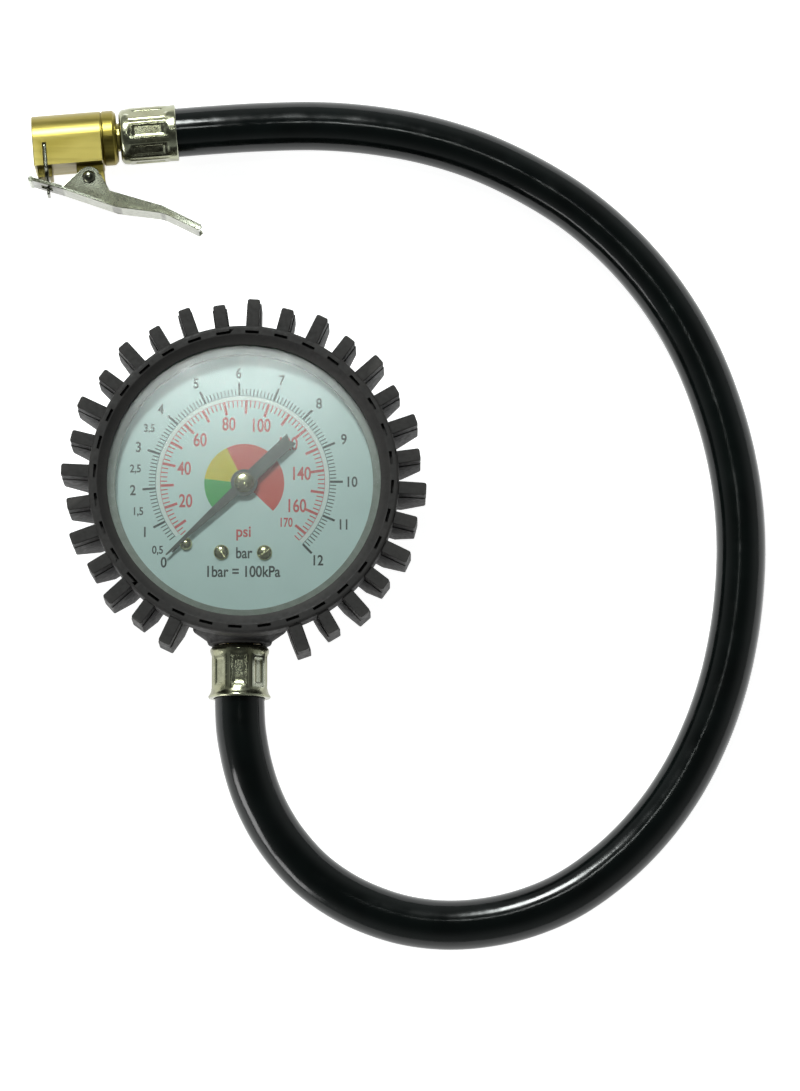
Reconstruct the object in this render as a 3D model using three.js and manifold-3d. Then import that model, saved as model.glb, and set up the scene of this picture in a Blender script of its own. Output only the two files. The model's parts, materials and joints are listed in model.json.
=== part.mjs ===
// Tyre pressure gauge with a treaded rubber boot, a hose and a clip-on air chuck.
//
// Units are millimetres. The gauge lies on its back on a table: +Z is up and out of the dial,
// +Y is the dial's 12 o'clock, and the origin is on the table, under the dial's centre.
import * as THREE from 'three';
import { mergeVertices } from 'three/addons/utils/BufferGeometryUtils.js';
import Module from 'manifold-3d';

const wasm = await Module();
wasm.setup();

// ---------------------------------------------------------------- driving dimensions

const GAP = 0.3;                    // clearance between neighbouring pieces
const DEG = Math.PI / 180;

// Facets round a circle, by the size of the piece.
const LARGE = 42;
const MEDIUM = 20;
const SMALL = 12;

// Heights of the gauge's layers, from the table up.
const BOOT_FLOOR = 2.0;
const CASE_BACK = 3.4;
const SHEET = 0.8;                  // case and bezel sheet thickness
const STEM_Z = 16.0;                // height of the stem and of the tube's middle
const SEAT_Z = 26.1;                // ledge inside the boot, under the bezel
const LIP_Z = 31.9;                 // underside of the boot's lip, over the bezel
const FLANGE_Z = 26.4;
const DIAL_Z = 25.2;
const DIAL_THICK = 0.5;
const POINTER_Z = 27.15;
const POINTER_THICK = 0.35;
const LENS_Z = 28.9;
const LENS_THICK = 2.1;
const BOOT_TOP = 34.0;

// Radii of the gauge head.
const BOOT_R = 40.3;                // front ring of the boot
const BOOT_BACK_R = 36.5;
const POCKET = [38.2, 40.0];        // radial span of the pocket at each lug's root
const POCKET_WIDTH = 3.5;
const POCKET_WELL = 38.95;          // the pocket is deep from here outwards
const LIP_R = 35.5;                 // visible opening over the lens
const CASE_R = 34.9;
const FLANGE_R = 37.3;              // case flange that the bezel is crimped over
const BEZEL_R = 38.3;
const BEZEL_EDGE_R = 35.9;          // bezel's inner edge, over the lens
const LENS_R = 37.1;
const DIAL_R = 33.8;

// Places on the dial, from its centre.
const DIAL_SCREWS = [[-5.9, -18.1], [5.3, -18.2]];
const STOP_PIN = [-15.1, -15.9];
const POINTER_HUB_R = 3.5;
const POINTER_REST = 223.2;         // degrees, resting on the stop pin

// Tread of the boot.
const LUG_SLOTS = 32;
const LUG_BARE = [23, 24, 25];      // slots over the stem, which have no lug
const LUG_TWIST = -3.1;             // degrees that the tread is turned by
const LUG_WIDTH = 3.4;
const LUG_LONG_R = 47.4;
const LUG_SHORT_R = 46.2;
const LUG_TOP = 33.3;
const LUG_TIP_DEPTH = 17.5;
const LUG_ROOT_DEPTH = 28.0;

// Movement.
const MODULE_MM = 0.3;              // gear module
const PINION_TEETH = 12;
const BACKLASH = 0.06;
const SECTOR_TEETH = 108;           // teeth that the whole wheel would have
const SECTOR_FIRST = -10;           // teeth kept, counted from the one in mesh at rest
const SECTOR_LAST = 1;
const SECTOR_BEARING = -30;         // degrees, from the pinion to the sector's pivot
const TAIL_LENGTH = 6.0;
const TAIL_BEARING = -30;           // degrees at rest
const LINK_TOP = [21.6, -1.2];      // pin that joins the link to the tube's end
const TUBE_R = 27.0;
const TUBE_START = 258;             // degrees round the dial, at the socket
const TUBE_END = -2;                // degrees, at the free end
const TUBE_WIDE = 9.0;
const TUBE_THIN = 2.6;
const TUBE_WALL = 0.45;

// Flat parts of the movement, as [low, high].
const REAR_PLATE = [12.3, 13.3];
const FRONT_PLATE = [19.3, 20.3];
const SECTOR = [15.2, 16.4];
const LINK = [16.9, 17.6];
const TIP_EAR = [18.0, 19.0];
const LEDGE_TOP = 12.0;
const PILLARS = [[-6.2, 3.6], [14.6, -14.6]];
const PLATE_SCREWS = [[0, -15.6], [0, -19.1]];
const CASE_SCREWS = [[-5.8, -27.5], [3.2, -27.5]];

// Stem, ferrules and hose.
const STEM_X = -1.3;
const NECK_Y = -41.3;               // end of the boot's neck
const FERRULE_TOP = -41.6;
const FERRULE_MOUTH = -55.2;
const HOSE_R = 6.5;
const HOSE_BORE = 4.1;
const BARB_R = 3.75;
const BARB_ROOT_R = 3.1;
const BARB_PITCH = 3.6;
const NIPPLE_BORE = 1.8;
const NIPPLE_THREAD_R = 3.8;
const STEM_R = 5.6;
const FERRULE_R = 7.35;
const FERRULE_FLAT = 7.08;          // from the axis to each of the eight flats
const FERRULE_BORE = 6.8;
const NIPPLE_COLLAR_R = 4.1;        // hole that the nipple passes through in a ferrule's end

// Chuck, in its own frame: +X runs from the valve mouth to the hose, +Y away from the lever.
const CHUCK_PLACE = [-56.7, 93.65, 7.6];
const CHUCK_TURN = 4.7;             // degrees
const CHUCK_R = 7.3;
const CHUCK_BODY_END = 18.3;
const CHUCK_END = 22.3;
const VALVE_BORE = 4.3;
const CHUCK_FERRULE = [23.1, 38.2];
const RIVET = [14.2, -10.95];
const EAR_HALF = 3.5;               // half thickness of the ear between the lever's cheeks
const CHEEK_IN = 3.8;
const CHEEK_OUT = 4.8;
const WEB_THICK = 0.9;
const SPRING_SLOT = 1.5;            // half width of the slot that the spring sits in
const CLAW_SLOT = [2.55, 3.65];
const CLAW_THICK = 0.7;

// Hose centreline from inside the gauge's ferrule to inside the chuck's, chosen by hand.
const HOSE_ROUTE = [
  [-1.3, -43.4, 16], [-1.3, -50, 16], [-1.2, -57, 16], [-0.9, -63, 16],
  [-0.2, -67.8, 15.6], [1.1, -73.7, 14.7], [3.3, -80.3, 12.9], [6.9, -87.5, 10.3],
  [11.2, -93.6, 8.2], [17, -99.8, 6.9], [24, -105, 6.5], [32, -109.1, 6.5],
  [42.5, -112.4, 6.5], [55, -113.5, 6.5], [69.5, -111.5, 6.5], [83.2, -106.3, 6.5],
  [95.3, -98, 6.5], [105.6, -87.8, 6.5], [113.9, -76.3, 6.5], [120.3, -63.8, 6.5],
  [124.9, -51, 6.5], [127.9, -38.2, 6.5], [129.6, -25.3, 6.5], [130.1, -12.6, 6.5],
  [129.3, 0, 6.5], [127.2, 12.3, 6.5], [123.8, 24.5, 6.5], [119.2, 36.4, 6.5],
  [113.2, 47.8, 6.5], [105.6, 58.6, 6.5], [96.6, 68.4, 6.5], [86.1, 77.2, 6.5],
  [74.4, 84.5, 6.5], [61.6, 90.6, 6.5], [47.8, 95, 6.5], [33.1, 97.7, 6.5],
  [19, 98.8, 6.5], [4.5, 98.5, 6.8], [-8, 97.65, 7.4], [-31.8, 95.7, 7.6],
];

// Values that follow from the ones above.
const PINION_R = (MODULE_MM * PINION_TEETH) / 2;
const SECTOR_R = (MODULE_MM * SECTOR_TEETH) / 2;
const CENTRES = PINION_R + SECTOR_R;
const SECTOR_PIVOT = polar(CENTRES, SECTOR_BEARING);
const TAIL_PIN = offset(SECTOR_PIVOT, polar(TAIL_LENGTH, TAIL_BEARING));

// ---------------------------------------------------------------- materials

function finish(colour, roughness, metalness) {
  return new THREE.MeshStandardMaterial({ color: colour, roughness, metalness });
}

const MATERIALS = {
  rubber: finish(0x3b3a38, 0.85, 0.0),
  steel: finish(0xb9bbb8, 0.35, 1.0),
  zinc: finish(0xa9a988, 0.3, 1.0),
  nickel: finish(0xc4c6b4, 0.2, 1.0),
  brass: finish(0xb29a43, 0.35, 1.0),
  dial: finish(0xcfe3dc, 0.6, 0.0),
  pointer: finish(0x4a4a44, 0.55, 0.0),
  glass: finish(0xe8f1ee, 0.05, 0.0),
  gasket: finish(0xd9d6c6, 0.7, 0.0),
  hose: finish(0x101314, 0.25, 0.0),
  seal: finish(0x202020, 0.8, 0.0),
};

// ---------------------------------------------------------------- geometry helpers

function polar(radius, degrees) {
  return [radius * Math.cos(degrees * DEG), radius * Math.sin(degrees * DEG)];
}

function offset(point, by) {
  return [point[0] + by[0], point[1] + by[1]];
}

// A closed mesh as a manifold solid.
function solid(geometry) {
  const bare = geometry.clone();
  bare.deleteAttribute('normal');
  bare.deleteAttribute('uv');
  const merged = mergeVertices(bare, 1e-4);
  const vertProperties = new Float32Array(merged.attributes.position.array);
  const triVerts = new Uint32Array(merged.index.array);
  return new wasm.Manifold(new wasm.Mesh({ numProp: 3, vertProperties, triVerts }));
}

// A manifold solid as a mesh geometry.
function shell(body) {
  const mesh = body.getMesh();
  const geometry = new THREE.BufferGeometry();
  geometry.setAttribute('position', new THREE.BufferAttribute(mesh.vertProperties, 3));
  geometry.setIndex(new THREE.BufferAttribute(mesh.triVerts, 1));
  geometry.computeVertexNormals();
  return geometry;
}

// A solid of revolution from [radius, height] points. Its axis is X, Y or Z.
function turned(profile, axis = 'z', segments = MEDIUM) {
  const points = profile.map(([r, h]) => new THREE.Vector2(r, h));
  const geometry = new THREE.LatheGeometry(points, segments);
  if (axis === 'z') geometry.rotateX(Math.PI / 2);
  if (axis === 'x') geometry.rotateZ(-Math.PI / 2);
  return geometry;
}

// The closed profile of a plain rod between two heights.
function rod(radius, low, high) {
  return [[0, low], [radius, low], [radius, high], [0, high]];
}

// The closed profile of a tube between two heights.
function pipe(inner, outer, low, high) {
  return [[inner, low], [outer, low], [outer, high], [inner, high], [inner, low]];
}

function cylinder(radius, low, high, at = [0, 0], axis = 'z', segments = SMALL) {
  const geometry = turned(rod(radius, low, high), axis, segments);
  if (axis === 'z') geometry.translate(at[0], at[1], 0);
  if (axis === 'y') geometry.translate(at[0], 0, at[1]);
  if (axis === 'x') geometry.translate(0, at[0], at[1]);
  return geometry;
}

function block(low, high) {
  const size = high.map((value, i) => value - low[i]);
  const geometry = new THREE.BoxGeometry(...size);
  geometry.translate(...low.map((value, i) => value + size[i] / 2));
  return geometry;
}

// A flat plate: an outline of [x, y] points between two heights.
function plate(outline, low, high) {
  const shape = new THREE.Shape(outline.map(([x, y]) => new THREE.Vector2(x, y)));
  const geometry = new THREE.ExtrudeGeometry(shape, { depth: high - low, bevelEnabled: false });
  geometry.translate(0, 0, low);
  return geometry;
}

// A flat bar with round ends from one point to another.
function bar(from, to, radius, low, high) {
  const heading = Math.atan2(to[1] - from[1], to[0] - from[0]) / DEG;
  const outline = [];
  for (let turn = -90; turn <= 90; turn += 30) outline.push(offset(to, polar(radius, heading + turn)));
  for (let turn = 90; turn <= 270; turn += 30) outline.push(offset(from, polar(radius, heading + turn)));
  return plate(outline, low, high);
}

// Joins the first solid with those in `more`, then cuts away those in `cuts`.
function worked(first, more = [], cuts = []) {
  let body = solid(first);
  for (const geometry of more) body = body.add(solid(geometry));
  for (const geometry of cuts) body = body.subtract(solid(geometry));
  return shell(body);
}

function piece(name, geometry, material, parent) {
  const mesh = new THREE.Mesh(geometry, MATERIALS[material]);
  mesh.name = name;
  parent.add(mesh);
  return mesh;
}

// ---------------------------------------------------------------- rubber boot

function bootBody() {
  const profile = [
    [0, 0], [BOOT_BACK_R - 2.0, 0], [BOOT_BACK_R, 2.0], [37.6, 23.0],
    [BOOT_R, 25.6], [BOOT_R, BOOT_TOP - 0.8], [BOOT_R - 0.8, BOOT_TOP],
    [LIP_R + 2.0, BOOT_TOP], [LIP_R, LIP_Z + 0.5], [LIP_R, LIP_Z],
    [BEZEL_R + GAP, LIP_Z], [BEZEL_R + GAP, SEAT_Z], [CASE_R + GAP, SEAT_Z],
    [CASE_R + GAP, 5.0], [CASE_R - 2.0, BOOT_FLOOR], [0, BOOT_FLOOR],
  ];
  return turned(profile, 'z', LARGE);
}

// One tread lug lying along +X: a wedge, deep at its root and shallow at its tip.
function lug(tip) {
  const outline = [
    [36.9, LUG_TOP - LUG_ROOT_DEPTH + 1.5], [41.0, LUG_TOP - LUG_ROOT_DEPTH],
    [tip, LUG_TOP - LUG_TIP_DEPTH], [tip, LUG_TOP - 0.6], [tip - 0.6, LUG_TOP],
    [39.2, LUG_TOP], [39.2, 24.0], [37.2, 21.0],
  ];
  const geometry = plate(outline, -LUG_WIDTH / 2, LUG_WIDTH / 2);
  geometry.rotateX(Math.PI / 2);
  return geometry;
}

function lugSlots() {
  const slots = [];
  for (let slot = 0; slot < LUG_SLOTS; slot += 1) {
    slots.push({
      angle: (slot * 360) / LUG_SLOTS + LUG_TWIST,
      tip: slot % 2 ? LUG_SHORT_R : LUG_LONG_R,
      bare: LUG_BARE.includes(slot),
    });
  }
  return slots;
}

function rubberBoot() {
  const joined = [];
  const cuts = [];
  for (const { angle, tip, bare } of lugSlots()) {
    const side = POCKET_WIDTH / 2;
    for (const [near, floor] of [[POCKET[0], LIP_Z + 0.5], [POCKET_WELL, 27.0]]) {
      const pocket = block([near, -side, floor], [POCKET[1], side, BOOT_TOP + 1]);
      pocket.rotateZ(angle * DEG);
      cuts.push(pocket);
    }
    if (bare) continue;
    const geometry = lug(tip);
    geometry.rotateZ(angle * DEG);
    joined.push(geometry);
  }
  const neck = turned([[0, NECK_Y], [8.4, NECK_Y], [12.2, -37.4], [12.2, -35.9], [0, -35.9]], 'y', MEDIUM);
  neck.translate(STEM_X, 0, STEM_Z);
  joined.push(neck);
  cuts.push(turned(rod(CASE_R + GAP, 5.0, SEAT_Z), 'z', LARGE));
  cuts.push(turned(rod(BEZEL_R + GAP, SEAT_Z, LIP_Z), 'z', LARGE));
  cuts.push(cylinder(STEM_R + 0.6, NECK_Y - 1, -30, [STEM_X, STEM_Z], 'y'));
  return worked(bootBody(), joined, cuts);
}

// ---------------------------------------------------------------- case, bezel, lens

function gaugeCase() {
  const inner = CASE_R - SHEET;
  const rim = FLANGE_Z + SHEET;
  const profile = [
    [0, CASE_BACK], [CASE_R - 2.5, CASE_BACK], [CASE_R, CASE_BACK + 2.5], [CASE_R, FLANGE_Z],
    [FLANGE_R, FLANGE_Z], [FLANGE_R, rim], [inner, rim],
    [inner, CASE_BACK + 3.0], [inner - 2.2, CASE_BACK + SHEET], [0, CASE_BACK + SHEET],
  ];
  const stemHole = cylinder(STEM_R + 0.4, -40, -28, [STEM_X, STEM_Z], 'y');
  const screwHoles = CASE_SCREWS.map((at) => cylinder(1.3, 0, 6, at));
  return worked(turned(profile, 'z', LARGE), [], [stemHole, ...screwHoles]);
}

function bezelRing() {
  const inner = FLANGE_R + GAP;
  const top = LIP_Z - GAP;
  const profile = [
    [inner, FLANGE_Z + 0.1], [BEZEL_R, FLANGE_Z + 0.1], [BEZEL_R, top], [BEZEL_EDGE_R, top],
    [BEZEL_EDGE_R, top - 0.4], [inner, top - 0.4], [inner, FLANGE_Z + 0.1],
  ];
  return turned(profile, 'z', LARGE);
}

function lens() {
  const top = LENS_Z + LENS_THICK;
  return turned(rod(LENS_R, LENS_Z, top), 'z', LARGE);
}

function lensGasket() {
  return turned(pipe(DIAL_R - 0.2, LENS_R + 0.1, FLANGE_Z + SHEET + GAP, LENS_Z - GAP), 'z', LARGE);
}

// ---------------------------------------------------------------- dial

function dialPlate() {
  const disc = cylinder(DIAL_R, DIAL_Z, DIAL_Z + DIAL_THICK, [0, 0], 'z', LARGE);
  const holes = DIAL_SCREWS.map((at) => cylinder(1.15, DIAL_Z - 1, DIAL_Z + 2, at));
  holes.push(cylinder(1.6, DIAL_Z - 1, DIAL_Z + 2));
  holes.push(cylinder(0.75, DIAL_Z - 1, DIAL_Z + 2, STOP_PIN));
  return worked(disc, [], holes);
}

// A round-headed screw pointing down from its seat height, with a straight slot.
function screw(headR, headH, shankR, length, seat, at, slotTurn = 20) {
  const profile = [
    [0, seat - length], [shankR, seat - length], [shankR, seat], [headR, seat],
    [headR, seat + headH * 0.4], [headR * 0.75, seat + headH * 0.85], [0, seat + headH],
  ];
  const slot = block([-headR - 1, -0.3, seat + headH * 0.55], [headR + 1, 0.3, seat + headH + 1]);
  slot.rotateZ(slotTurn * DEG);
  const geometry = worked(turned(profile, 'z', SMALL), [], [slot]);
  geometry.translate(at[0], at[1], 0);
  return geometry;
}

function stopPin() {
  const top = DIAL_Z + DIAL_THICK + 0.05;
  const profile = [
    [0, DIAL_Z - 1.2], [0.6, DIAL_Z - 1.2], [0.6, top], [1.68, top],
    [1.55, top + 0.75], [1.1, top + 1.25], [0.5, top + 1.5], [0, top + 1.5],
  ];
  const geometry = turned(profile, 'z', SMALL);
  geometry.translate(STOP_PIN[0], STOP_PIN[1], 0);
  return geometry;
}

// The pointer lies along +X here, with its forked tail on -X, and is turned to zero below.
function pointer() {
  const low = POINTER_Z;
  const high = POINTER_Z + POINTER_THICK;
  const needle = plate([[2, -1.3], [27.7, -0.25], [27.9, 0], [27.7, 0.25], [2, 1.3]], low, high);
  const tail = plate([[-2, 1.2], [-16.2, 1.9], [-14.7, 0], [-16.2, -1.9], [-2, -1.2]], low, high);
  const geometry = worked(cylinder(POINTER_HUB_R, low, high, [0, 0], 'z', MEDIUM), [needle, tail],
    [cylinder(1.2, low - 1, high + 1)]);
  geometry.rotateZ(POINTER_REST * DEG);
  return geometry;
}

function pointerCap() {
  const low = POINTER_Z + POINTER_THICK + 0.05;
  const profile = [
    [0.95, low], [2.63, low], [2.45, low + 0.45], [1.8, low + 0.85], [0.7, low + 1.0],
    [0.5, low + 0.85], [0, low + 0.85], [0, low + 0.5], [0.95, low + 0.5], [0.95, low],
  ];
  return turned(profile);
}

// ---------------------------------------------------------------- movement

// Outline of a run of gear teeth: 20 degree involutes, thinned a little for backlash.
function gearOutline(teeth, first, last, phase) {
  const pitch = (MODULE_MM * teeth) / 2;
  const base = pitch * Math.cos(20 * DEG);
  const tip = pitch + 0.85 * MODULE_MM;
  const root = pitch - 1.2 * MODULE_MM;
  const spread = (r) => (r <= base ? 0 : Math.sqrt((r / base) ** 2 - 1) - Math.acos(base / r));
  const half = Math.PI / 2 / teeth - BACKLASH / pitch / 2 + spread(pitch);
  const radii = base > root ? [root, base, pitch, tip] : [root, pitch, tip];
  const point = (r, angle) => [r * Math.cos(angle), r * Math.sin(angle)];
  const outline = [];
  for (let tooth = first; tooth <= last; tooth += 1) {
    const middle = phase * DEG + (tooth * 2 * Math.PI) / teeth;
    for (const r of radii) outline.push(point(r, middle - half + spread(r)));
    for (const r of [...radii].reverse()) outline.push(point(r, middle + half - spread(r)));
  }
  return outline;
}

function pinionArbor() {
  const phase = SECTOR_BEARING + 180 / PINION_TEETH;
  const teeth = plate(gearOutline(PINION_TEETH, 0, PINION_TEETH - 1, phase), 14.6, 17.0);
  const top = POINTER_Z + POINTER_THICK + 0.4;
  const arbor = turned([
    [0, 12.5], [0.6, 12.5], [0.6, 13.6], [1.0, 13.6], [1.0, 19.0], [0.8, 19.0], [0.8, top], [0, top],
  ], 'z', SMALL);
  return worked(teeth, [arbor]);
}

function sectorGear() {
  const [low, high] = SECTOR;
  const facing = SECTOR_BEARING + 180;
  const pitchAngle = 360 / SECTOR_TEETH;
  const rim = gearOutline(SECTOR_TEETH, SECTOR_FIRST, SECTOR_LAST, facing);
  for (let tooth = SECTOR_LAST; tooth >= SECTOR_FIRST; tooth -= 1) {
    rim.push(polar(SECTOR_R - 2.2, facing + tooth * pitchAngle));
  }
  const arc = plate(rim, low, high);
  arc.translate(...SECTOR_PIVOT, 0);
  const arms = [SECTOR_FIRST + 0.2, SECTOR_LAST - 0.2].map((tooth) => {
    const end = offset(SECTOR_PIVOT, polar(SECTOR_R - 1.4, facing + tooth * pitchAngle));
    return bar(SECTOR_PIVOT, end, 0.7, low, high);
  });
  const hub = cylinder(2.4, low, high, SECTOR_PIVOT);
  const tail = bar(SECTOR_PIVOT, TAIL_PIN, 1.3, low, high);
  const holes = [[1.08, SECTOR_PIVOT], [0.65, TAIL_PIN]];
  return worked(arc, [...arms, hub, tail], holes.map(([r, at]) => cylinder(r, low - 1, high + 1, at)));
}

function sectorArbor() {
  const geometry = turned([
    [0, 12.5], [0.6, 12.5], [0.6, 13.6], [1.0, 13.6], [1.0, 19.0], [0.6, 19.0], [0.6, 20.1], [0, 20.1],
  ], 'z', SMALL);
  geometry.translate(...SECTOR_PIVOT, 0);
  return geometry;
}

// A pin with a flat head at its top.
function headedPin(at, low, high, radius) {
  const head = 0.35;
  const profile = [
    [0, low], [radius, low], [radius, high - head], [radius + 0.45, high - head],
    [radius + 0.45, high], [0, high],
  ];
  const geometry = turned(profile, 'z', SMALL);
  geometry.translate(at[0], at[1], 0);
  return geometry;
}

function link() {
  const [low, high] = LINK;
  const strap = bar(TAIL_PIN, LINK_TOP, 0.9, low, high);
  const eye = cylinder(1.9, low, high, TAIL_PIN);
  const top = cylinder(1.4, low, high, LINK_TOP);
  return worked(strap, [eye, top], [
    cylinder(1.0, low - 1, high + 1, TAIL_PIN), cylinder(0.65, low - 1, high + 1, LINK_TOP)]);
}

// Flattened oval section of the Bourdon tube, grown by a margin, swept round its arc.
function tubeSweep(grow, startAngle, endAngle, steps, hollow) {
  const arc = new THREE.CatmullRomCurve3([]);
  arc.getPoint = (t, target = new THREE.Vector3()) => {
    const [x, y] = polar(TUBE_R, startAngle + (endAngle - startAngle) * t);
    return target.set(x, y, STEM_Z);
  };
  const oval = (wide, thin, sides) => {
    const flat = wide / 2 - thin / 2;
    const points = [];
    for (let i = 0; i < sides; i += 1) {
      const turn = (i + 0.5) * (360 / sides);
      const [x, y] = polar(thin / 2, turn);
      points.push(new THREE.Vector2(x + (x > 0 ? flat : -flat), y));
    }
    return points;
  };
  const section = new THREE.Shape(oval(TUBE_WIDE + 2 * grow, TUBE_THIN + 2 * grow, 8));
  if (hollow) {
    section.holes.push(new THREE.Path(oval(TUBE_WIDE - 2 * TUBE_WALL, TUBE_THIN - 2 * TUBE_WALL, 4)));
  }
  return new THREE.ExtrudeGeometry(section, { steps, bevelEnabled: false, extrudePath: arc });
}

function tubeEndPiece() {
  const tubeTip = polar(TUBE_R, TUBE_END);
  const cap = block([TUBE_R - 1.9, tubeTip[1] - 3.6, 11.3], [TUBE_R + 1.9, -0.2, 20.6]);
  const socket = tubeSweep(GAP + 0.05, TUBE_END + 20, TUBE_END, 12, false);
  const ear = bar(LINK_TOP, [TUBE_R, LINK_TOP[1] - 1.2], 1.4, TIP_EAR[0], TIP_EAR[1]);
  return worked(cap, [ear], [socket, cylinder(0.65, 15, 20, LINK_TOP)]);
}

function gaugeSocket() {
  const bore = (radius, from, to) => cylinder(radius, from, to, [STEM_X, STEM_Z], 'y');
  const main = block([-8.5, -30.0, CASE_BACK + SHEET + GAP], [7.5, -21.0, 21.0]);
  const ledge = block([-8.5, -21.5, 8.5], [7.5, -13.6, LEDGE_TOP]);
  const stem = bore(STEM_R, FERRULE_TOP + 0.5, -29.5);
  const tubeSlot = tubeSweep(0.55, 262, 240, 12, false);
  const crossBore = cylinder(1.2, -6.5, STEM_X, [-26.4, STEM_Z], 'x');
  const threads = [
    ...CASE_SCREWS.map((at) => cylinder(1.2, 2, 12, at)),
    ...PLATE_SCREWS.map((at) => cylinder(1.05, 9.0, 13, at)),
    ...DIAL_SCREWS.map((at) => cylinder(1.3, 9.5, 13, at)),
  ];
  return worked(main, [ledge, stem], [
    tubeSlot, crossBore, bore(4.2, -42, -33), bore(1.5, -34, -25.5), ...threads]);
}

function movementPlate([low, high], withFoot) {
  const links = [[[0, 0], PILLARS[0]], [[0, 0], SECTOR_PIVOT], [SECTOR_PIVOT, PILLARS[1]]];
  const bars = links.map(([from, to]) => bar(from, to, 2.6, low, high));
  const cuts = [cylinder(1.0, low - 1, high + 1), cylinder(0.7, low - 1, high + 1, SECTOR_PIVOT)];
  if (withFoot) {
    bars.push(block([-8.5, -20.7, low], [7.5, -13.6, high]));
    bars.push(bar([0, 0], [-1, -15], 2.6, low, high));
    bars.push(bar(PILLARS[1], [5, -15.5], 2.0, low, high));
    cuts.push(...PILLARS.map((at) => cylinder(0.95, low - 1, high + 1, at)));
    cuts.push(...PLATE_SCREWS.map((at) => cylinder(1.1, low - 1, high + 1, at)));
    cuts.push(...DIAL_SCREWS.map((at) => cylinder(1.3, low - 1, high + 1, at)));
  } else {
    cuts.push(...PILLARS.map((at) => cylinder(0.85, low - 1, high + 1, at)));
  }
  return worked(bars[0], bars.slice(1), cuts);
}

// A post with a spigot below and a blind threaded hole in its top.
function post(at, radius, spigot, seat, top, holeR, holeDepth) {
  const profile = [
    [0, spigot[1]], [spigot[0], spigot[1]], [spigot[0], seat], [radius, seat], [radius, top],
    [holeR, top], [holeR, top - holeDepth], [0, top - holeDepth],
  ];
  const geometry = turned(profile, 'z', SMALL);
  geometry.translate(at[0], at[1], 0);
  return geometry;
}

// Flat spiral round the pinion's arbor.
function hairspring() {
  const turns = 4.5;
  const steps = 63;
  const start = 1.25;
  const growth = 2.9;
  const side = (shift, i) => polar(start + (growth * i) / steps + shift, (360 * turns * i) / steps);
  const outline = [];
  for (let i = 0; i <= steps; i += 1) outline.push(side(0.09, i));
  for (let i = steps; i >= 0; i -= 1) outline.push(side(-0.09, i));
  return plate(outline, 17.4, 18.1);
}

// ---------------------------------------------------------------- nipples, ferrules, hose

// A hose nipple: threaded end, neck, then sawtooth barbs. Heights run towards the hose.
function nipple(thread, neck, tip) {
  const profile = [
    [NIPPLE_BORE, thread], [NIPPLE_THREAD_R, thread], [NIPPLE_THREAD_R, neck], [BARB_ROOT_R, neck],
  ];
  for (let h = neck + 2.4; h + BARB_PITCH <= tip; h += BARB_PITCH) {
    profile.push([BARB_ROOT_R, h], [BARB_R, h + 0.9], [BARB_ROOT_R + 0.05, h + BARB_PITCH - 0.1]);
  }
  profile.push([BARB_ROOT_R, tip], [NIPPLE_BORE, tip], [NIPPLE_BORE, thread]);
  return profile;
}

// A crimped ferrule: shoulder, eight-sided body and a flared lip at its mouth.
function ferrule(closed, mouth, shoulderR, lipR) {
  const profile = [
    [NIPPLE_COLLAR_R, closed], [shoulderR - 0.9, closed], [shoulderR, closed + 0.9],
    [shoulderR, closed + 1.7], [FERRULE_R, closed + 3.0], [FERRULE_R, mouth - 2.2],
    [lipR - 0.2, mouth - 0.9], [lipR, mouth - 0.5], [lipR, mouth], [FERRULE_BORE, mouth],
    [FERRULE_BORE, closed + 1.0], [NIPPLE_COLLAR_R, closed + 1.0], [NIPPLE_COLLAR_R, closed],
  ];
  const flats = [];
  for (let side = 0; side < 8; side += 1) {
    const flat = block([FERRULE_FLAT, closed + 3.4, -2.1], [9, mouth - 2.6, 2.1]);
    flat.rotateY((side + 0.5) * 45 * DEG);
    flats.push(flat);
  }
  return worked(turned(profile, 'y', MEDIUM), [], flats);
}

function hose() {
  const ring = (radius, sides) => {
    const points = [];
    for (let i = 0; i < sides; i += 1) points.push(new THREE.Vector2(...polar(radius, (i * 360) / sides)));
    return points;
  };
  const section = new THREE.Shape(ring(HOSE_R, 12));
  section.holes.push(new THREE.Path(ring(HOSE_BORE / Math.cos(Math.PI / 8), 8)));
  const points = HOSE_ROUTE.map((point) => new THREE.Vector3(...point));
  const route = new THREE.CatmullRomCurve3(points, false, 'centripetal');
  return new THREE.ExtrudeGeometry(section, { steps: 42, bevelEnabled: false, extrudePath: route });
}

// ---------------------------------------------------------------- chuck

// A plate across the chuck's axis: an outline of [z, y] points between two places on X.
function crossPlate(outline, low, high) {
  const geometry = plate(outline.map(([z, y]) => [-z, y]).reverse(), low, high);
  geometry.rotateY(Math.PI / 2);
  return geometry;
}

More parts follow.
